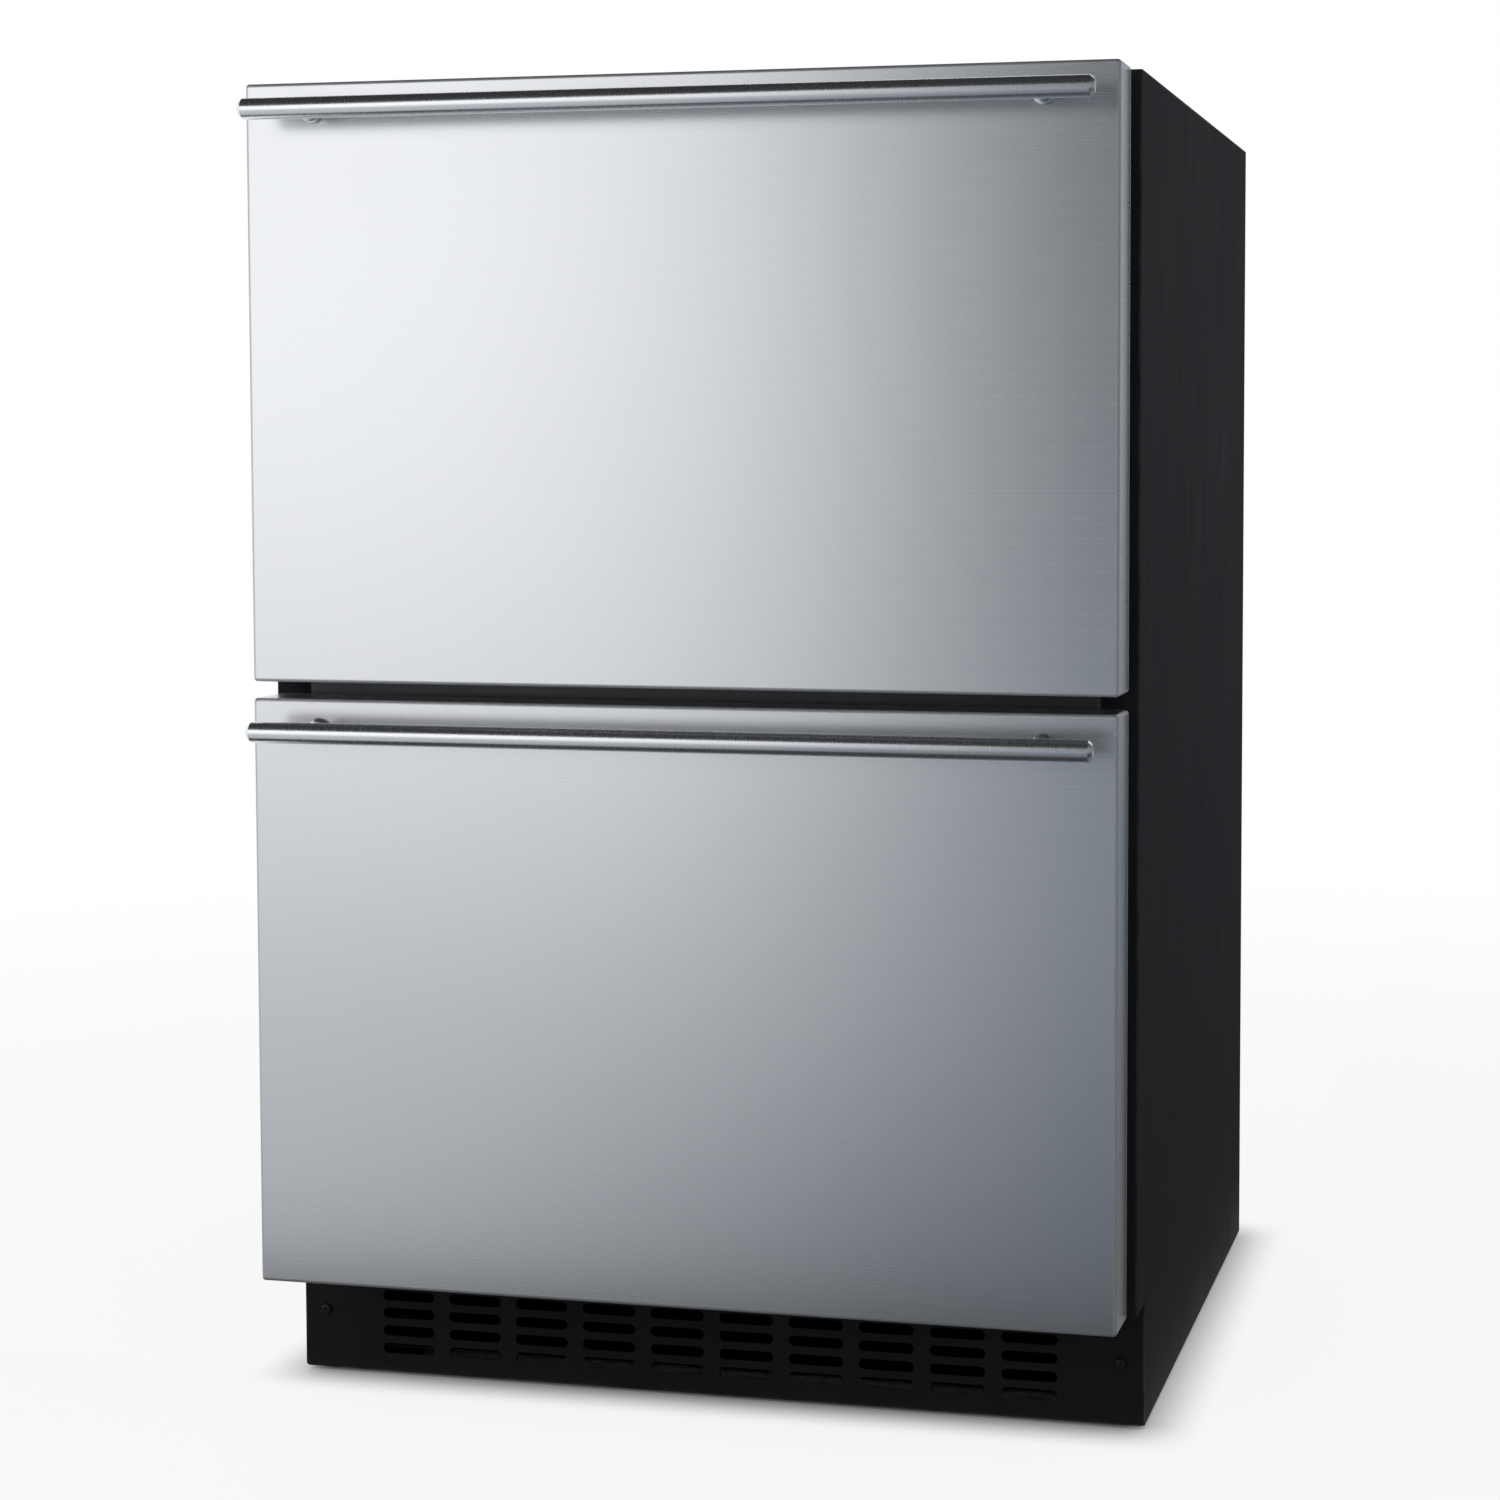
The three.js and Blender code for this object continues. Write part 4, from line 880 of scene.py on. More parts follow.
def cord_inlet():
    low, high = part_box("cord_inlet")
    centre = ((low.x + high.x) / 2, (low.z + high.z) / 2)
    floor = low.y + 2.5 * MM
    plastic = moulded("inlet plastic", (low, high), grey(0.012), grey(0.02))
    bm = bmesh.new()
    levels = [(28, 22, 3, low.y), (28, 22, 3, high.y - 0.6 * MM), (27, 21, 2.6, high.y), (24.6, 18.6, 2.0, high.y),
              (23.6, 17.6, 1.8, high.y - 0.8 * MM), (23, 17, 1.8, floor)]
    add_loft(bm, "Y", centre, [(w * MM, h * MM, r * MM, y) for w, h, r, y in levels], 4)
    add_loft(bm, "Y", centre, [(36 * MM, 30 * MM, 4 * MM, high.y - y * MM) for y in (3.8, 1.3)], 4)
    build("cord_inlet_socket", bm, plastic, "cabinet", ["cord_inlet"], width=0.2 * MM)
    bm = bmesh.new()
    for x, z in ((-7, -1.5), (0, 2.5), (7, -1.5)):
        pin = Vector((centre[0] + x * MM, floor, centre[1] + z * MM))
        add_box(bm, pin - Vector((1 * MM, 1 * MM, 2 * MM)), pin + Vector((1 * MM, 13 * MM, 2 * MM)))
    build("cord_inlet_pins", bm, plated("pin metal", (low, high)), "cabinet", width=0.5 * MM)


rear_cover()
cord_inlet()

# %% [markdown]
# ## The liner
#
# The liner is drawn from one warm sheet of white plastic, so every inner corner is round and its rim
# rolls outwards over the insulation. Cut out of a block it would have sharp corners. It starts as a
# stepped box with bevelled edges and no front. The rim is rolled out in three steps and ends in a flat
# lip, and the wall is added on the hidden side.

# %% The liner
def liner():
    low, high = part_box("inner_liner")
    half, floor, top, back = 260.5 * MM, 133 * MM, 844 * MM, 262.5 * MM
    near, far, ledge = 102.5 * MM, 117.5 * MM, 335 * MM
    corner, fold = 6 * MM, 3 * MM
    mouth = low.y + 0.3 * MM + fold
    bm = bmesh.new()
    outline = [(mouth, floor), (near, floor), (far, ledge), (back, ledge), (back, top), (mouth, top)]
    add_drawn(bm, outline, "X", -half, half)
    at_mouth = lambda item: all(v.co.y < mouth + 1e-5 for v in item.verts)
    bends = [e for e in bm.edges if not at_mouth(e)]
    bmesh.ops.bevel(bm, geom=bends, offset=corner, segments=4, profile=0.5, affect="EDGES")
    bmesh.ops.delete(bm, geom=[f for f in bm.faces if at_mouth(f)], context="FACES_ONLY")
    edges = [e for e in bm.edges if e.is_boundary]
    for turn in (30, 60, 90, None):
        made = bmesh.ops.extrude_edge_only(bm, edges=edges)["geom"]
        edges = [g for g in made if isinstance(g, bmesh.types.BMEdge) and g.is_boundary]
        for v in (g for g in made if isinstance(g, bmesh.types.BMVert)):
            core = Vector((max(corner - half, min(v.co.x, half - corner)), v.co.y,
                           max(floor + corner, min(v.co.z, top - corner))))
            out = (v.co - core).normalized()
            if turn is None:
                v.co.x = core.x + (math.copysign(high.x, core.x) - core.x) * min(1, abs(out.x) * math.sqrt(2))
                v.co.z = core.z + ((high.z if out.z > 0 else low.z) - core.z) * min(1, abs(out.z) * math.sqrt(2))
            else:
                a = math.radians(turn)
                v.co = core + out * (corner + fold * (1 - math.cos(a)))
                v.co.y = mouth - fold * math.sin(a)
    plastic = moulded("liner plastic", (low, high), (0.80, 0.81, 0.82, 1), (0.74, 0.75, 0.765, 1), rough=0.38)
    build("liner", bm, plastic, "cabinet", ["inner_liner"], width=0, wall=2 * MM, even=False)


liner()

# %% [markdown]
# ## The seals
#
# A seal closes the gap between a drawer's front and the cabinet. It is a bellows of soft black rubber.
# A swept curve would round its corners too much, so a wavy profile is carried round a rectangle with
# small corners, as a loft that closes on itself.

# %% The seals
def seal(prefix):
    low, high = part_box(f"{prefix}_gasket")
    width, height, depth = high.x - low.x, high.z - low.z, high.y - low.y
    outside = [(0.9 - 0.9 * math.cos(k * math.pi / 3), 0.3 + 5.4 * k / 15) for k in range(16)]
    profile = [(1.6, 0.0)] + outside + [(0.0, 6.2), (0.0, 8.0), (0.5, 8.4), (13.5, 8.4), (14.0, 8.0), (14.0, 6.2)]
    profile += [(14.0 - u, v) for u, v in reversed(outside)] + [(12.4, 0.0)]
    scale = depth / (8.4 * MM)
    bm = bmesh.new()
    levels = [(width - 2 * u * MM, height - 2 * u * MM, max(3.5 - u, 1.0) * MM, low.y + v * scale * MM)
              for u, v in profile]
    add_loft(bm, "Y", ((low.x + high.x) / 2, (low.z + high.z) / 2), levels, 4, closed_path=True)
    build(f"{prefix}_seal", bm, rubber(f"{prefix} seal rubber"), f"{prefix}_drawer",
          [f"{prefix}_gasket"], width=0)


for prefix in DRAWERS:
    seal(prefix)

# %% [markdown]
# ## The bins
#
# A bin is a moulded tub. Its walls, its rolled rim and its floor are one loft through round rectangles
# that shrink round each edge, which gives every corner a true radius. Two turned-down flanges hang it
# on the slides, and ribs keep tins off the wet floor.

# %% The bins
def arc_levels(inset, start, radius, steps=4):
    """Insets and heights that turn a flat floor up into a wall."""
    turns = [math.pi / 2 * k / steps for k in range(steps + 1)]
    return [(inset + radius * (1 - math.sin(a)), start + radius * (1 - math.cos(a))) for a in turns]


def add_tub(bm, centre, size, floor, wall, bend, corner, rim):
    """An open tub: up its outside, over the rim, given as (inset, height), and down its inside."""
    levels = arc_levels(0, floor, bend) + rim + list(reversed(arc_levels(wall, floor + wall, bend)))
    add_loft(bm, "Z", centre, [(size[0] - 2 * i, size[1] - 2 * i, corner - i, z) for i, z in levels], 7)


def bin_tub(prefix):
    low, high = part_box(f"{prefix}_bin")
    half, corner, wall = 246.9 * MM, 16 * MM, 3 * MM
    depth, middle = high.y - low.y, (low.y + high.y) / 2
    rim = [(i * MM, high.z - z * MM) for i, z in ((0, 1), (0.3, 0.3), (1, 0), (2, 0), (2.7, 0.3), (3, 1))]
    bm = bmesh.new()
    add_tub(bm, (0, middle), (2 * half, depth), low.z, wall, 7 * MM, corner, rim)
    flange = ((245.4, 0), (255.9, 0), (255.9, -6), (253.6, -6), (253.6, -2.6), (245.4, -2.6))
    for sign in (-1, 1):
        edge = [(sign * x * MM, high.z + z * MM) for x, z in flange]
        add_drawn(bm, rounded_path(edge, 0.9 * MM, 3, True), "Y", low.y + corner, high.y - corner)
    plastic = moulded(f"{prefix} bin plastic", (low, high), (0.62, 0.65, 0.68, 1), (0.57, 0.60, 0.635, 1), rough=0.3)
    body = f"{prefix}_drawer"
    build(f"{prefix}_tub", bm, plastic, body, [f"{prefix}_bin"], width=0)
    bm = bmesh.new()
    length = depth - 70 * MM
    add_loft(bm, "Z", (0, 0), [(4 * MM, length, 1.9 * MM, 0.0), (4 * MM, length, 1.9 * MM, 0.8 * MM),
                               (2.4 * MM, length - 1.6 * MM, 1.1 * MM, 1.4 * MM)], 4)
    grown = row.grow(f"{prefix}_tub_ribs", part=as_part(bm), count=11, start=(-0.2, middle, low.z + wall - 0.1 * MM),
                     step=(0.04, 0.0, 0.0), finish=plastic)
    adopt(grown, plastic, body)


for prefix in DRAWERS:
    bin_tub(prefix)

# %% [markdown]
# ## The panels behind the fronts
#
# The inside of a front is a moulded white panel with a raised border, which fits inside the seal. Its
# steps are round rectangles joined in turn, as on the bins. That gives a rounded shoulder and a shallow
# dish without cutting one shape out of another.

# %% The panels behind the fronts
def front_panel(prefix):
    low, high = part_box(f"{prefix}_front_inner_panel")
    centre = ((low.x + high.x) / 2, (low.z + high.z) / 2)
    width, height = high.x - low.x, high.z - low.z
    field = (481.8 * MM, height - 61.4 * MM)
    plate_top = low.y + 2 * MM
    levels = [(width, height, 1.5, low.y), (width, height, 1.5, plate_top - 0.3 * MM),
              (width - 0.6 * MM, height - 0.6 * MM, 1.2, plate_top)]
    raised = [(8, 16, plate_top), (5, 14.5, plate_top + 0.5 * MM), (3.4, 13.6, plate_top + 2 * MM),
              (1.4, 12.6, high.y - 2 * MM), (0.4, 12, high.y - 0.7 * MM), (-1.4, 11, high.y), (-22, 6, high.y),
              (-24, 5, high.y - 0.5 * MM), (-26, 4, high.y - 1.6 * MM)]
    levels += [(field[0] + grow * MM, field[1] + grow * MM, radius, y) for grow, radius, y in raised]
    bm = bmesh.new()
    add_loft(bm, "Y", centre, [(w, h, r * MM, y) for w, h, r, y in levels], 6)
    plastic = moulded(f"{prefix} panel plastic", (low, high), (0.80, 0.81, 0.82, 1), (0.75, 0.76, 0.775, 1), rough=0.36)
    build(f"{prefix}_inner_panel", bm, plastic, f"{prefix}_drawer", [f"{prefix}_front_inner_panel"], width=0)


for prefix in DRAWERS:
    front_panel(prefix)

# %% [markdown]
# ## The slides
#
# A telescopic slide is three channels of zinc-plated strip, each rolled from flat stock, so that its
# corners are round inside and out. The profile is drawn once with rounded corners and drawn out along
# Y. Low rivets fasten the strips; they repeat, so a tree places them.

# %% The slides
def rail(node, sign):
    low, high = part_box(node)
    wall, mouth = (high.x, low.x) if sign > 0 else (low.x, high.x)
    strip = 1.5 * MM
    t = math.copysign(strip, mouth - wall)
    if "inner" in node:
        top = low.z + (high.z - low.z) * 30.1 / 43.05
        web = mouth - t
        outline = [(mouth, low.z), (mouth, high.z), (web, high.z), (web, top), (wall, top), (wall, top - strip),
                   (web, top - strip), (web, low.z + strip), (wall, low.z + strip), (wall, low.z)]
        face, level = web, (low.z + top) / 2
    else:
        outline = [(wall, low.z), (mouth, low.z), (mouth, low.z + strip), (wall + t, low.z + strip),
                   (wall + t, high.z - strip), (mouth, high.z - strip), (mouth, high.z), (wall, high.z)]
        face, level = wall + t, (low.z + high.z) / 2
    bm = bmesh.new()
    add_drawn(bm, rounded_path(outline, 0.7 * MM, 3, True), "Y", low.y, high.y)
    zinc = plated(f"{node} zinc", (low, high))
    body = carrier(node)
    build(node.replace("_rail", "_channel"), bm, zinc, body, [node], width=0)
    facing = (1 if "inner" in node else -1) * sign
    grown = row.grow(node.replace("_rail", "_rivets"), part=screw_head(3 * MM, 0.4 * MM, "X", facing), count=5,
                     start=(face, low.y + 25 * MM, level), step=(0.0, (high.y - low.y - 50 * MM) / 4, 0.0), finish=zinc)
    adopt(grown, zinc, body)


for prefix in DRAWERS:
    for side, sign in (("left", -1), ("right", 1)):
        for member in ("outer", "mid", "inner"):
            rail(f"{prefix}_{side}_{member}_rail", sign)

# %% [markdown]
# ## Light and control
#
# A small white housing under the ceiling carries the dial. The dial is turned, with flutes cut round
# its rim and a flat grip across it, and short marks on the housing show its range. At rest the dial
# points at the mark at the lower right, where its turn of 270 degrees starts.

# %% The control housing and its dial
def control():
    low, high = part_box("control_housing")
    dial_low, dial_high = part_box("thermostat_dial")
    hub = (dial_low + dial_high) / 2
    white = moulded("housing plastic", (low, high), (0.78, 0.79, 0.80, 1), (0.73, 0.74, 0.755, 1))
    black = moulded("dial plastic", (dial_low, dial_high), grey(0.013), grey(0.024), rough=0.36)
    size = high - low
    bm = bmesh.new()
    levels = [(0, 4, high.z), (0, 4, low.z + 2.5 * MM), (0.35, 3.8, low.z + 1.2 * MM), (1.1, 3.2, low.z + 0.4 * MM),
              (2.4, 2, low.z)]
    add_loft(bm, "Z", ((low.x + high.x) / 2, (low.y + high.y) / 2),
             [(size.x - 2 * i * MM, size.y - 2 * i * MM, r * MM, z) for i, r, z in levels])
    for k in range(6):
        z = low.z + (9 + 3.4 * k) * MM
        for x in (low.x - 0.1 * MM, high.x - 0.5 * MM):
            add_box(bm, (x, low.y + 14 * MM, z), (x + 0.6 * MM, high.y - 10 * MM, z + 1.2 * MM))
    build("control_case", bm, white, "cabinet", ["control_housing"], width=0)
    bm = bmesh.new()
    for k in range(9):
        a = math.radians(-135 + 33.75 * k)
        reach, side = Vector((math.sin(a), 0, math.cos(a))), Vector((math.cos(a), 0, -math.sin(a)))
        middle = Vector((hub.x, low.y - 0.08 * MM, hub.z)) + reach * 15.9 * MM
        half = (0.45 if k % 4 else 0.7) * MM
        for v in add_box(bm, (-1, -1, -1), (1, 1, 1)):
            v.co = middle + side * v.co.x * half + reach * v.co.z * 1.1 * MM + Vector((0, v.co.y * 0.1 * MM, 0))
    build("dial_marks", bm, black, "cabinet", width=0)
    bm = bmesh.new()
    steps, flutes, rings = 144, 24, []
    for r, y, flute in ((0.6, 0, 0), (12.6, 0, 0), (13.7, 0.5, 0.4), (14.0, 1.2, 0.6), (14.0, 3.6, 0.6),
                        (13.6, 4.2, 0.4), (12.6, 4.6, 0), (0.6, 4.6, 0)):
        at = [2 * math.pi * i / steps for i in range(steps)]
        radii = [(r - flute * (0.5 + 0.5 * math.cos(flutes * a)) ** 2) * MM for a in at]
        rings.append([(hub.x + q * math.cos(a), dial_high.y - y * MM, hub.z + q * math.sin(a))
                      for q, a in zip(radii, at)])
    add_rings(bm, rings)
    levels = [(0, dial_high.y - 4 * MM), (0, dial_low.y + 1.2 * MM), (0.35, dial_low.y + 0.4 * MM), (1.1, dial_low.y)]
    add_loft(bm, "Y", (hub.x, hub.z), [((6 - 2 * i) * MM, (27 - 2 * i) * MM, (2.9 - i) * MM, y) for i, y in levels], 5)
    start = Matrix.Rotation(math.radians(135), 3, "Y")
    bmesh.ops.rotate(bm, cent=hub, matrix=start, verts=bm.verts)
    build("dial", bm, black, "dial", ["thermostat_dial"], width=0)
    bm = bmesh.new()
    add_loft(bm, "Y", (hub.x, hub.z + 8 * MM),
             [(1.2 * MM, 7 * MM, 0.5 * MM, dial_low.y + y * MM) for y in (0.3, -0.1)], 3)
    bmesh.ops.rotate(bm, cent=hub, matrix=start, verts=bm.verts)
    build("dial_pointer", bm, white, "dial", width=0)


control()

# %% [markdown]
# ## The fans and the duct cover
#
# A white duct cover stands in front of the evaporator. It is a plate with rows of vents and a round
# fan hole, so the plate tree makes it, and a guard of rings and spokes closes the hole. A fan wheel
# has a domed hub and five blades. A real blade is twisted and bent, so each one is a closed loft whose
# sections turn from the hub to the tip.

# %% Fans
def add_torus(bm, centre, axis, radius, wire, steps=48, sides=8):
    turns = [2 * math.pi * k / steps for k in range(steps)]
    around = [2 * math.pi * k / sides for k in range(sides)]
    add_rings(bm, [[Vector(centre) + placed(axis, (radius + wire * math.cos(b)) * math.cos(a),
                                            (radius + wire * math.cos(b)) * math.sin(a), wire * math.sin(b))
                    for b in around] for a in turns], closed_path=True)


def add_blade(bm, centre, axis, turn, hub, tip, chord, reach):
    """One twisted, cambered blade as a closed loft from the hub to the tip."""
    stations = 9
    rings = []
    for k in range(stations):
        t = k / (stations - 1)
        r = hub * 0.93 + (tip - hub * 0.93) * t
        width = chord * (0.72 + 0.5 * math.sin(math.pi * min(t * 0.62 + 0.16, 1))) * (0.55 if k == stations - 1 else 1)
        pitch = math.radians(40 - 16 * t)
        section = []
        for i in range(14):
            a = 2 * math.pi * i / 14
            s, lift = 0.5 * math.cos(a), 0.5 * math.sin(a) * 1.6 * MM * (1.15 - 0.5 * math.cos(a))
            bulge = width * 0.09 * (1 - 4 * s * s)
            across = s * width * math.cos(pitch) - (lift + bulge) * math.sin(pitch)
            along = s * width * math.sin(pitch) + (lift + bulge) * math.cos(pitch)
            limit = reach / 2 - 0.2 * MM
            angle = turn + across / r + 0.22 * t
            along = max(-limit, min(limit, along))
            section.append(centre + placed(axis, r * math.cos(angle), r * math.sin(angle), along))
        rings.append(section)
    add_rings(bm, rings)


def fan(name, axis):
    """A moulded wheel: a domed hub and five blades."""
    low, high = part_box(f"{name}_blade")
    centre = (low + high) / 2
    motor_low, motor_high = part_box(f"{name}_motor")
    spin = (motor_low + motor_high) / 2
    index = AXES[axis][2]
    for i in range(3):
        if i != index:
            centre[i] = spin[i]
    tip = max(high[i] - centre[i] for i in range(3) if i != index)
    depth = high[index] - low[index]
    bm = bmesh.new()
    profile = [(0.4, -0.5), (11, -0.5), (15.2, -0.44), (16.6, -0.34), (17, -0.2), (17, 0.5), (14.5, 0.5), (14.5, 0.1),
               (0.4, 0.1)]
    add_turned(bm, [(r * MM, -a * depth) for r, a in profile], centre, axis, 40)
    for k in range(5):
        add_blade(bm, centre, axis, 2 * math.pi * k / 5, hub=17 * MM, tip=tip, chord=27 * MM, reach=depth)
    plastic = moulded(f"{name} plastic", (low, high), grey(0.014), grey(0.026), rough=0.38)
    build(f"{name}_wheel", bm, plastic, name, [f"{name}_blade"], width=0)


# %% The evaporator cover with its guard
def evaporator_cover():
    low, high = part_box("evaporator_cover")
    wheel_low, wheel_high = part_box("evaporator_fan_motor")
    middle, hub = (low.z + high.z) / 2, (wheel_low + wheel_high) / 2
    plastic = moulded("cover plastic", (low, high), (0.78, 0.79, 0.80, 1), (0.73, 0.74, 0.755, 1))
    hole = loops(circle(hub.x, hub.z - middle, 50 * MM))
    grown = plate.grow("duct_cover", width=high.x - low.x, height=high.z - low.z, thickness=2 * MM, corner=6 * MM,
                       slot_length=46 * MM, slot_width=8 * MM, columns=3, rows=5, column_pitch=74 * MM,
                       row_pitch=16 * MM, rise=low.z + 145 * MM - middle, holes=hole, finish=plastic, turn=ACROSS,
                       place=(0.0, low.y + 2 * MM, middle))
    adopt(grown, plastic, "cabinet", ["evaporator_cover"], width=0.5 * MM)
    bm = bmesh.new()
    for x in (low.x, high.x - 2 * MM):
        add_box(bm, (x, low.y + 1.5 * MM, low.z + 6 * MM), (x + 2 * MM, high.y, high.z - 6 * MM))
    build("duct_cover_returns", bm, plastic, "cabinet", width=0.5 * MM)
    bm = bmesh.new()
    centre = Vector((hub.x, low.y + 0.6 * MM, hub.z))
    for radius in (13, 22, 31, 40, 49):
        add_torus(bm, centre, "Y", radius * MM, 0.9 * MM)
    for k in range(6):
        a = math.pi * k / 3 + math.pi / 6
        arm = [placed("Y", r * math.cos(a), r * math.sin(a), 0) for r in (11 * MM, 53 * MM)]
        side = placed("Y", -math.sin(a), math.cos(a), 0) * 1.2 * MM
        depth, square = Vector((0, 0.9 * MM, 0)), ((1, -1), (1, 1), (-1, 1), (-1, -1))
        add_rings(bm, [[centre + p + side * u + depth * v for u, v in square] for p in arm])
    boss = ((0.4, -0.6), (11, -0.6), (12.6, 0), (12.6, 1), (0.4, 1))
    add_turned(bm, [(r * MM, y * MM) for r, y in boss], centre, "Y", 36)
    build("fan_guard", bm, plastic, "cabinet", width=0)


evaporator_cover()
fan("evaporator_fan", "Y")
fan("condenser_fan", "X")

# %% [markdown]
# ## The coils
#
# A coil is a stack of thin fins on a copper tube that snakes to and fro. One wavy fin is drawn out, and
# a tree sets it in a row. Another tree lays the tube along its runs and rounds every turn, which keeps
# the runs evenly spaced.

# %% Finned coils
def copper(name):
    f = Finish(name)
    tarnish, spots = f.noise(30.0, 4).step(0.35, 0.75), f.noise(240.0, 3).step(0.55, 0.8)
    tint = spots.blend(tarnish.blend((0.72, 0.40, 0.27, 1), (0.42, 0.23, 0.16, 1)), (0.25, 0.15, 0.11, 1))
    return f.finish(tint, 0.3 + tarnish * 0.2 + spots * 0.15, f.noise(700.0, 2), 0.02, 0.2, 1.0)


def coil(node, name, fins, levels, layers, tube_radius, leg):
    """Thin fins across X on a tube that runs to and fro through them."""
    low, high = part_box(node)
    low = low + Vector((0, 0, leg))
    metal = plated(f"{name} fins", (low, high), (0.66, 0.68, 0.70, 1), (0.52, 0.54, 0.56, 1), 0.4)
    bend_room = 9 * MM
    first, last = low.x + bend_room, high.x - bend_room
    bm = bmesh.new()
    waves = 6
    edge = [(low.y + (high.y - low.y) * k / waves, (0.5 * MM if k % 2 else 0)) for k in range(waves + 1)]
    sheet = [(x, y) for y, x in edge] + [(x + 0.35 * MM, y) for y, x in reversed(edge)]
    add_drawn(bm, sheet, "Z", low.z, high.z)
    grown = row.grow(f"{name}_fins", part=as_part(bm), count=fins, start=(first, 0.0, 0.0),
                     step=((last - first - 1 * MM) / (fins - 1), 0.0, 0.0), finish=metal)
    adopt(grown, metal, carrier(node), [node])
    rise, step_y = (high.z - low.z) / levels, (high.y - low.y) / layers
    ends, points = (low.x + tube_radius, high.x - tube_radius), []
    for layer in range(layers):
        order = range(levels) if layer % 2 == 0 else reversed(range(levels))
        for k in order:
            near = (k + layer) % 2
            y, z = low.y + step_y * (layer + 0.5), low.z + rise * (k + 0.5)
            points += [(ends[near], y, z), (ends[1 - near], y, z)]
    pipe = copper(f"{name} copper")
    grown = tube.grow(f"{name}_tube", path=chain(points), bend=rise * 0.46, radius=tube_radius, finish=pipe)
    adopt(grown, pipe, carrier(node))
    bm = bmesh.new()
    for x in (first - 1.2 * MM, last):
        add_box(bm, (x, low.y + 0.5 * MM, low.z - leg), (x + 1.2 * MM, high.y - 0.5 * MM, high.z))
    build(f"{name}_end_plates", bm, plated(f"{name} end zinc", (low, high)), carrier(node))


coil("evaporator_coil", "evaporator", fins=72, levels=7, layers=1, tube_radius=4 * MM, leg=0.0)
coil("condenser_coil", "condenser", fins=56, levels=8, layers=3, tube_radius=3.2 * MM, leg=12 * MM)

# %% [markdown]
# ## The motors and the fan plate
#
# A fan motor is a small can with ribs round it, so it is turned from one profile. The plate that
# carries the condenser's fan comes from the plate tree, a ring rolls the edge of its hole, and four
# bent rods hold the motor.

# %% Motors and the condenser's fan plate
def motor(node, axis):
    """A fan motor: its shaft, its can and five cooling ribs round it."""
    low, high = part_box(node)
    index = AXES[axis][2]
    centre = (low + high) / 2
    centre[index] = 0.0
    start, length = low[index], high[index] - low[index]
    body = 16.3 * MM / length
    profile = [(0.4, 0), (2.6, 0), (3, 0.01), (3, body), (9, body + 0.002), (10, body + 0.03), (20, body + 0.04),
               (23.6, body + 0.07), (24.6, body + 0.12)]
    for k in range(5):
        a = body + 0.18 + k * (0.8 - body) / 6
        profile += [(24.6, a), (25.0, a + 0.012), (25.0, a + 0.045), (24.6, a + 0.057)]
    profile += [(24.6, 0.9), (23.4, 0.96), (20, 0.995), (8, 1.0), (0.4, 1.0)]
    bm = bmesh.new()
    add_turned(bm, [(r * MM, start + length * a) for r, a in profile], centre, axis, 40)
    build(node.replace("_motor", "_drive"), bm, moulded(f"{node} plastic", (low, high), grey(0.02), grey(0.035)),
          carrier(node), [node], width=0)


def fan_plate():
    """A plate with a round hole, its rolled rim, and four arms that carry the motor."""
    low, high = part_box("condenser_fan_shroud")
    motor_low, motor_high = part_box("condenser_fan_motor")
    middle, hub = (low + high) / 2, (motor_low + motor_high) / 2
    zinc = plated("fan plate zinc", (low, high))
    hole = loops(circle(hub.y - middle.y, 0, 58 * MM))
    grown = plate.grow("fan_plate", width=high.y - low.y, height=high.z - low.z, thickness=1.2 * MM, corner=4 * MM,
                       slot_length=12 * MM, slot_width=4 * MM, columns=2, rows=2, column_pitch=104 * MM,
                       row_pitch=134 * MM, rise=0.0, holes=hole, finish=zinc, turn=(math.pi / 2, 0.0, math.pi / 2),
                       place=tuple(middle))
    adopt(grown, zinc, "cabinet", ["condenser_fan_shroud"], width=0.2 * MM)
    bm = bmesh.new()
    add_torus(bm, (middle.x + 0.6 * MM, hub.y, middle.z), "X", 58.6 * MM, 1.3 * MM, 60)
    build("fan_plate_ring", bm, zinc, "cabinet", width=0)
    back = motor_high.x - 18 * MM
    for k in range(4):
        a = math.pi / 4 + math.pi / 2 * k
        spots = [(x, hub.y + r * math.cos(a), middle.z + r * math.sin(a)) for x, r in
                 ((middle.x + 1.5 * MM, 62 * MM), (back, 62 * MM), (back, 24 * MM))]
        arm = tube.grow(f"motor_arm_{k + 1}", path=chain(spots), bend=8 * MM, radius=2 * MM, finish=zinc)
        adopt(arm, zinc, "cabinet")


motor("evaporator_fan_motor", "Y")
motor("condenser_fan_motor", "X")
fan_plate()

# %% [markdown]
# ## The machine space
#
# The compressor is two deep-drawn steel cups welded round the middle and enamelled black. Turning
# gives the cups and the weld bead. It stands on rubber grommets, with short copper stubs and a clipped
# terminal cover at its side. A tray on top catches the defrost water, which dries in the warmth.

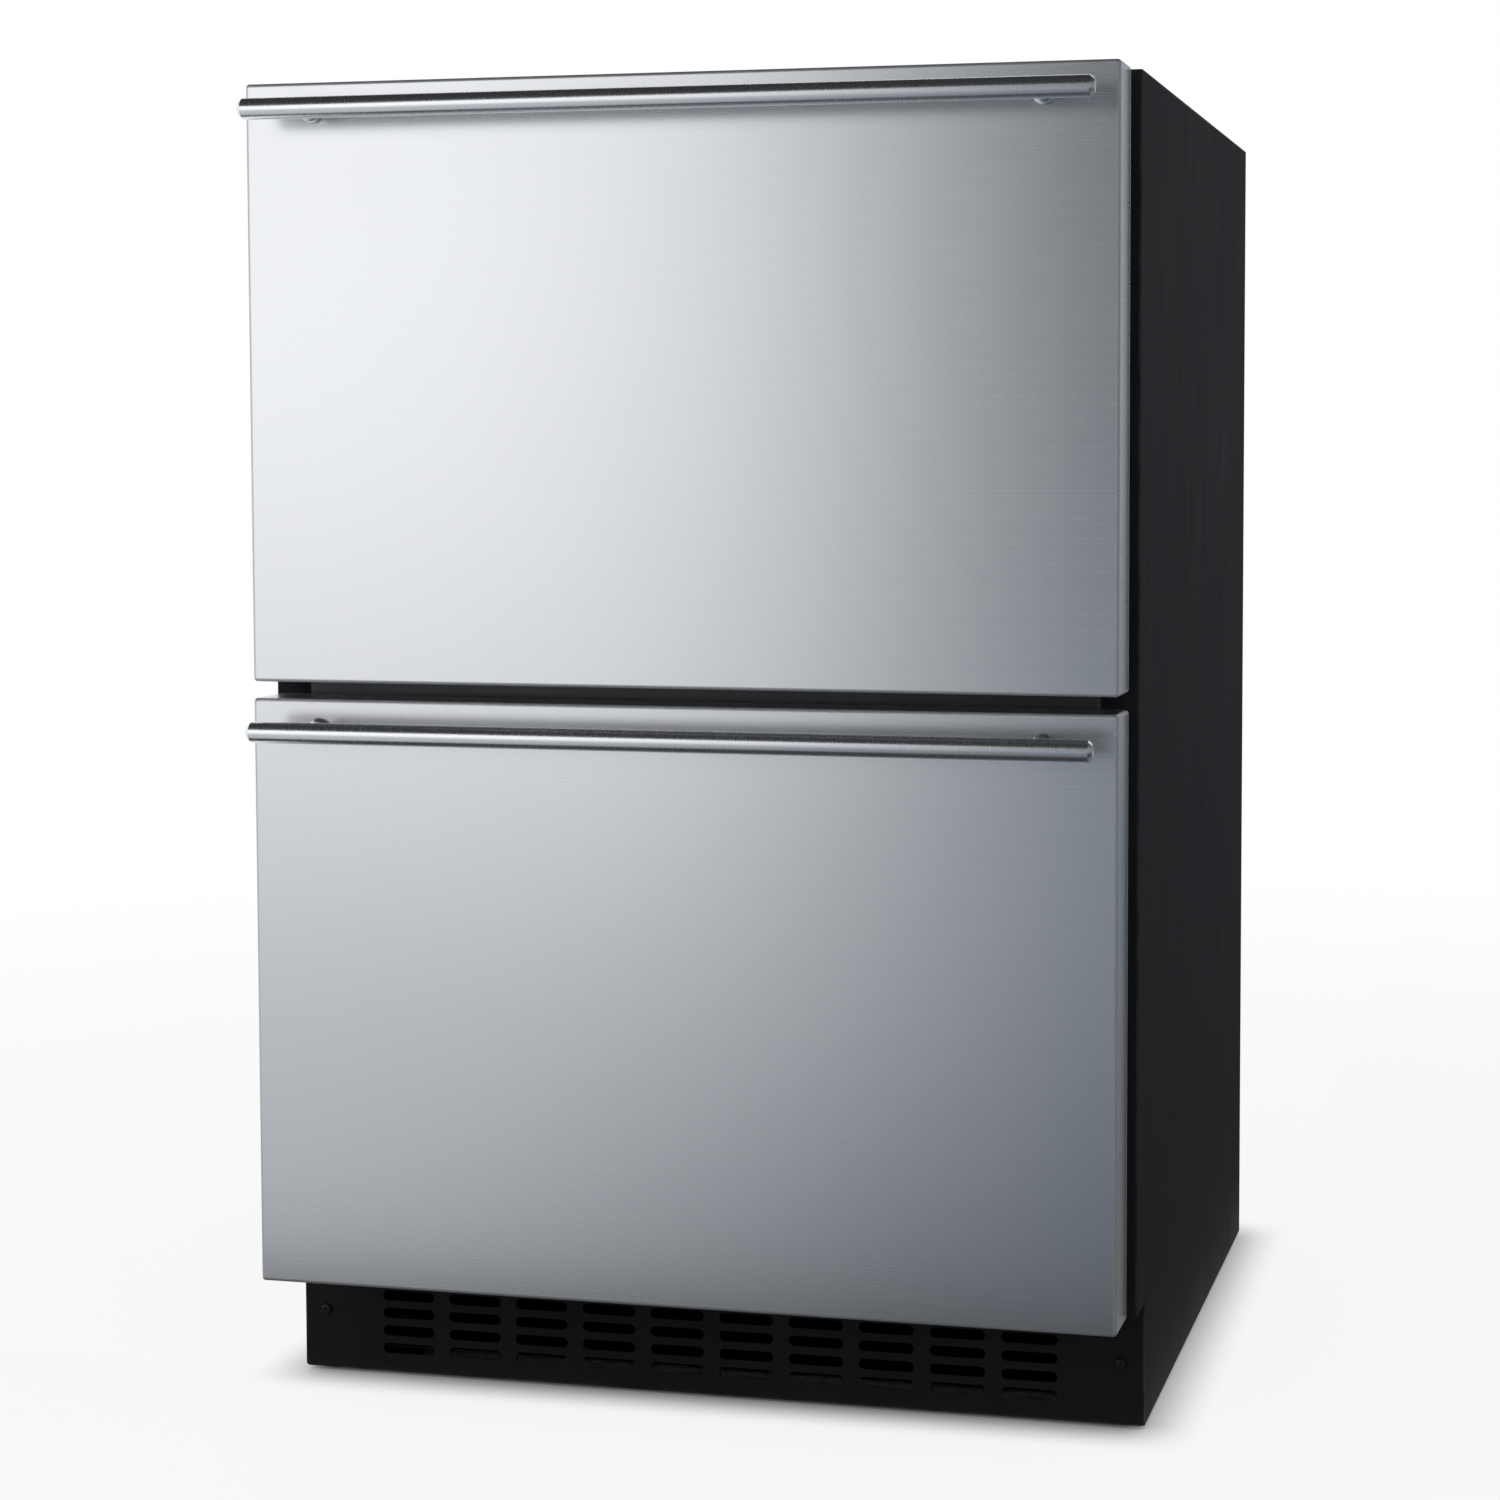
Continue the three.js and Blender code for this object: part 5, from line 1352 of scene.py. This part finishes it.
# %% The compressor and its tray
def compressor():
    low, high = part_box("compressor")
    centre = (low + high) / 2
    centre.z = 0.0
    bottom = low.z + 12 * MM
    enamel = coated("compressor enamel", (low, high), grey(0.012), peel=300.0, lift=0.08, rough=0.3,
                    edge=grey(0.03), patch=grey(0.02), Specular_IOR_Level=0.5)
    profile = [(0.5, 0), (34, 0), (46, 3), (55, 9), (60, 18), (60.6, 26), (60.6, 66), (61.3, 67), (62, 68.6),
               (62, 71), (61.3, 72.6), (59.8, 73.4), (59.8, 118), (58.4, 128), (53, 138), (44, 145), (30, 149),
               (12, 150), (0.5, 150)]
    bm = bmesh.new()
    add_turned(bm, [(r * MM, bottom + z * MM) for r, z in profile], centre, "Z", 64)
    build("compressor_can", bm, enamel, "cabinet", ["compressor"], width=0)
    bm = bmesh.new()
    size = high - low
    levels = ((0, 12, 3), (0, 12, 0), (1.6, 11, 0), (3, 10.5, 1))
    add_loft(bm, "Z", (centre.x, centre.y),
             [(size.x - i * MM, (100 - i) * MM, r * MM, bottom + z * MM) for i, r, z in levels])
    for x in (-59, 59):
        add_box(bm, (centre.x + (x - 8) * MM, centre.y - 44 * MM, bottom - 1 * MM),
                (centre.x + (x + 8) * MM, centre.y + 44 * MM, bottom + 1.5 * MM))
    build("compressor_foot", bm, enamel, "cabinet", width=0.3 * MM)
    bm = bmesh.new()
    for x in (-67, 67):
        for y in (-42, 42):
            spot = (centre.x + x * MM, centre.y + y * MM, 0)
            rings = [(0.4, 0), (7, 0), (8, 0.8), (8, 4), (6.2, 5.2), (6.2, 9.5), (7.6, 11), (7.6, 14.4), (6.8, 15),
                     (0.4, 15)]
            add_turned(bm, [(r * MM, low.z + z * MM) for r, z in rings], spot, "Z", 24)
    build("compressor_grommets", bm, rubber("grommet rubber"), "cabinet", width=0)
    bm = bmesh.new()
    levels = ((44, 50, 6, -56), (44, 50, 6, -69), (40, 46, 5, -72), (34, 40, 3, -73))
    add_loft(bm, "X", (centre.y - 10 * MM, bottom + 62 * MM),
             [(w * MM, h * MM, r * MM, centre.x + x * MM) for w, h, r, x in levels])
    plastic = moulded("terminal plastic", (low, high), grey(0.015), grey(0.03))
    build("terminal_cover", bm, plastic, "cabinet", width=0)
    pipe = copper("pipe copper")
    runs = [(3.2, [(0, -58, 95), (0, -70, 95), (0, -78, 110), (-40, -78, 110)]),
            (4.0, [(28, -52, 80), (34, -68, 80), (60, -74, 80), (60, -74, 40)]),
            (2.6, [(-30, -50, 40), (-36, -64, 40), (-36, -64, 70)])]
    for k, (radius, run) in enumerate(runs):
        spots = [(centre.x + x * MM, centre.y + y * MM, bottom + z * MM) for x, y, z in run]
        grown = tube.grow(f"compressor_pipe_{k + 1}", path=chain(spots), bend=8 * MM, radius=radius * MM, finish=pipe)
        adopt(grown, pipe, "cabinet")


def drip_tray():
    low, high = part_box("drip_pan")
    size, centre = high - low, (low + high) / 2
    rim = [(i * MM, high.z - z * MM) for i, z in ((0, 3), (0, 0.6), (0.5, 0), (1.5, 0), (2, 0.6))]
    bm = bmesh.new()
    add_tub(bm, (centre.x, centre.y), size, low.z, 2 * MM, 5 * MM, 16 * MM, rim)
    plastic = moulded("tray plastic", (low, high), grey(0.015), grey(0.03), rough=0.36)
    build("drip_tray", bm, plastic, "cabinet", ["drip_pan"], width=0)


compressor()
drip_tray()

# %% [markdown]
# ## The levelling feet
#
# A foot is a threaded stud with a hexagon to turn it by and a wide pad. The thread is modelled as
# close rings. A true helix looks the same at this size, and the rings leave a clean, closed shape.

# %% The levelling feet
def foot(node):
    low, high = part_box(node)
    centre = (low + high) / 2
    centre.z = 0.0
    plastic = moulded(f"{node} plastic", (low, high), grey(0.012), grey(0.022), rough=0.5)
    profile = [(0.4, 0), (16.8, 0), (17.6, 0.3), (18, 1), (18, 3.2), (17.4, 4.2), (14, 5.2), (10.2, 6.2), (9, 7.2),
               (8.6, 8), (5.2, 8.2)]
    z = 8.0
    while z < 28.4:
        profile += [(5.2, z + 0.35), (4.7, z + 0.9), (5.2, z + 1.25)]
        z += 1.25
    profile += [(4.4, 29.5), (0.4, 29.5)]
    bm = bmesh.new()
    add_turned(bm, [(r * MM, h * MM) for r, h in profile], centre, "Z", 32)
    hexagon = ((8.2, 13), (9, 13.4), (9, 18.9), (8.2, 19.4), (4, 19.4), (4, 13))
    add_turned(bm, [(r * MM, h * MM) for r, h in hexagon], centre, "Z", 6)
    build(node.replace("levelling_", ""), bm, plastic, carrier(node), [node], width=0)


for node in [n for n in nodes if n.startswith("levelling_foot")]:
    foot(node)

# %% [markdown]
# ## Solids that stay
#
# Some CAD solids already have the right shape: the rail between the drawers, the pan under the
# machinery, the sheet above it, the light's lens and the insulation. They keep their mesh and get a
# finish and soft edges. The lens has fine ribs across it, which spread the light of the lamps inside.

# %% Foam, lens and the finishes of the solids that stay
def foam(name):
    f = Finish(name)
    bubbles, cloud = f.cells(260.0, "SMOOTH_F1"), f.noise(9.0, 4)
    tint = (bubbles * 0.6 + cloud * 0.5).blend((0.78, 0.71, 0.42, 1), (0.66, 0.58, 0.32, 1))
    return f.finish(tint, 0.85 + cloud * 0.1, bubbles, lift=0.6, strength=0.6)


def ribbed_lens(name):
    f = Finish(name)
    x = f.place.parts()[0]
    ribs = f.add("ShaderNodeMath", {"operation": "SINE"}, {0: x * (2 * math.pi / 0.003)})
    cloud = f.noise(20.0, 3)
    tint = (ribs * 0.25 + cloud * 0.5 + 0.1).least(1.0).most(0.0).blend((0.90, 0.92, 0.94, 1), (0.80, 0.83, 0.86, 1))
    return f.finish(tint, 0.16 + cloud * 0.12, ribs, lift=0.3, strength=0.5, Coat_Weight=0.3)


keep("centre_rail", coated("rail paint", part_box("centre_rail"), grey(0.03, 0.002), rough=0.38, patch=grey(0.045, 0.003),
                           edge=grey(0.09, 0.005), Specular_IOR_Level=0.5), width=0.8 * MM)
keep("underside_panel", coated("underside paint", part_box("underside_panel")), width=0.3 * MM)
# The pan is zinc, but it is painted almost black, darker and duller than the cabinet's paint: painted shade, so that it
# stays dark behind the kick plate's slots.
keep("base_pan", coated("pan paint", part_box("base_pan"), grey(0.0015), patch=grey(0.003), rough=0.8,
                         edge=grey(0.008), Specular_IOR_Level=0.05), width=0.25 * MM)
keep("light_bar", ribbed_lens("ribbed lens"), width=1.2 * MM)
for name in ("insulation_foam", "lower_front_core", "upper_front_core"):
    keep(name, foam(f"{name} finish"), width=0.8 * MM)
print("CAD solids that show:", [name for name, obj in nodes.items() if not obj.hide_render])

# %% [markdown]
# ## The floor and the cards
#
# The object stands on a pale floor in an even, white room. Polished metal shows its surroundings, so
# photographers set dark cards out of the picture to give it shape. Here the cards are planes that glow
# with fixed greys and light nothing, so what the metal shows of them is painted reflection. The bright
# front card stands in for the key lamp, which reflections don't see. The cards are seen only in
# reflections, and neither the camera nor the shadows know them.

# %% The room
def plane(name, corners, material):
    mesh = bpy.data.meshes.new(name)
    mesh.from_pydata(corners, [], [(0, 1, 2, 3)])
    mesh.materials.append(material)
    obj = linked(name, mesh)
    return obj


def seen(graph):
    """1 for what looks at the background: the camera, and reflections and glass."""
    path = [graph.add("ShaderNodeLightPath", {}, {}, name)
            for name in ("Is Camera Ray", "Is Glossy Ray", "Is Transmission Ray")]
    return path[0].most(path[1]).most(path[2])


def floor_finish():
    f = Finish("pale floor")
    distance = f.add("ShaderNodeVectorMath", {"operation": "LENGTH"}, {0: f.place}, "Value")
    grain = f.noise(35.0, 4)
    paint = f.add("ShaderNodeBsdfPrincipled", {}, {
        "Base Color": grain.blend(grey(0.80), grey(0.84)), "Roughness": 0.6})
    white = f.add("ShaderNodeEmission", {}, {"Color": grey(1.0), "Strength": 1.0})
    x, y, _ = f.place.parts()
    under = (1 - abs(x).step(0.28, 0.34)) * (1 - abs(y - 0.06).step(0.24, 0.30))
    share = seen(f) * (0.88 + distance.step(0.9, 2.6) * 0.12) * (1 - under)
    mixed = f.add("ShaderNodeMixShader", {}, {0: share, 1: paint, 2: white})
    f.add("ShaderNodeOutputMaterial", {}, {"Surface": mixed})
    return f.material


def card(name, corners, first, second, axis, start, end, cool=(0.01, 0.12), foot=(1.0, 1.0)):
    """A card whose grey runs from first to second along an axis. Cool says how blue the two greys are, and
    foot how much of each is left at the bottom of the card."""
    f = Finish(name)
    share, rise = f.place.parts()[axis].step(start, end), f.place.parts()[2].step(-0.1, 0.9)
    greys = []
    for value, blue, part in zip((first, second), cool, foot):
        low, high = ((v * (1 - blue), v, v * (1 + blue), 1.0) for v in (value * part, value))
        greys.append(rise.blend(low, high))
    glow = f.add("ShaderNodeEmission", {}, {"Color": share.blend(*greys), "Strength": 1.0})
    f.add("ShaderNodeOutputMaterial", {}, {"Surface": glow})
    obj = plane(name, corners, f.material)
    obj.visible_camera = obj.visible_diffuse = obj.visible_shadow = obj.visible_transmission = False


def upright(x0, y0, x1, y1, bottom, top):
    return [(x0, y0, bottom), (x1, y1, bottom), (x1, y1, top), (x0, y0, top)]


def level(x0, y0, x1, y1, z):
    return [(x0, y0, z), (x1, y0, z), (x1, y1, z), (x0, y1, z)]


LEFT, RIGHT, FRONT, BACK = -3.2, 3.2, -2.45, 3.4   # where the cards stand, in metres
BELOW, HOOD, CEILING, ABOVE = -0.1, 1.75, 2.2, 0.002
plane("floor", level(-9, -9, 9, 9, 0), floor_finish())
card("front_card", upright(LEFT, FRONT, 1.0, FRONT, BELOW, HOOD), 1.29, 0.085, 0, -0.8, -0.08, (0.01, 0.2), (0.68, 2.6))
card("edge_card", upright(1.0, FRONT, RIGHT, FRONT, BELOW, HOOD), 0.7, 0.3, 0, 1.6, 2.8)
card("hood_card", upright(LEFT, FRONT, RIGHT, FRONT, HOOD, CEILING), 0.035, 0.035, 0, 0, 1)
card("right_card", upright(RIGHT, FRONT, RIGHT, BACK, BELOW, 2.4), 0.25, 0.5, 1, 1.0, 2.4)
card("back_card", upright(RIGHT, BACK, 0.35, BACK, BELOW, 2.4), 0.30, 0.42, 2, 0.0, 0.9, (0.05, 0.07))
card("front_floor_card", level(-3.5, -4.0, RIGHT, -0.56, ABOVE), 0.57, 0.14, 0, -0.62, 0.28, (0.05, 0.16))
card("near_floor_card", level(-3.5, -0.56, RIGHT, -0.2, ABOVE), 0.04, 0.04, 0, 0, 1)
card("right_floor_card", level(0.32, -0.2, RIGHT, BACK, ABOVE), 0.18, 0.24, 1, 0, 2)
card("top_card", level(LEFT, FRONT, RIGHT, 1.2, CEILING), 0.035, 0.035, 0, 0, 1)

# %% [markdown]
# ## The lamps and the world
#
# A wide soft lamp at the front left gives the light its direction, and a weaker one above lights the
# tops. The world fills the shadows, and looks plain white to the camera and in reflections, so that the
# background's white never comes from more light on the object.

# %% The lamps and the world
def lamp(name, place, target, size, radiance):
    light = bpy.data.lights.new(name, "AREA")
    light.shape, light.size = "SQUARE", size
    light.energy = radiance * math.pi * size * size
    obj = linked(name, light)
    obj.location = place
    obj.rotation_mode = "QUATERNION"
    obj.rotation_quaternion = (Vector(target) - Vector(place)).to_track_quat("-Z", "Y")
    # Reflections don't see the lamps; the glowing front card is shown in the key lamp's place.
    obj.visible_glossy = False


lamp("soft_key", (-1.75, -2.4, 1.45), (0, 0, 0.5), size=2.1, radiance=1.5)
lamp("soft_top", (0.2, -0.6, 2.6), (0, 0, 0.4), size=1.8, radiance=0.9)

world = bpy.data.worlds.new("white room")
bpy.context.scene.world = world
world.use_nodes = True
world.node_tree.nodes.clear()
room = Graph(world.node_tree)
fill = room.add("ShaderNodeBackground", {}, {"Color": grey(1.0), "Strength": 0.55})
white = room.add("ShaderNodeBackground", {}, {"Color": grey(1.0), "Strength": 1.0})
mixed = room.add("ShaderNodeMixShader", {}, {0: seen(room), 1: fill, 2: white})
room.add("ShaderNodeOutputWorld", {}, {"Surface": mixed})
print("lamps:", [light.name for light in bpy.data.lights])
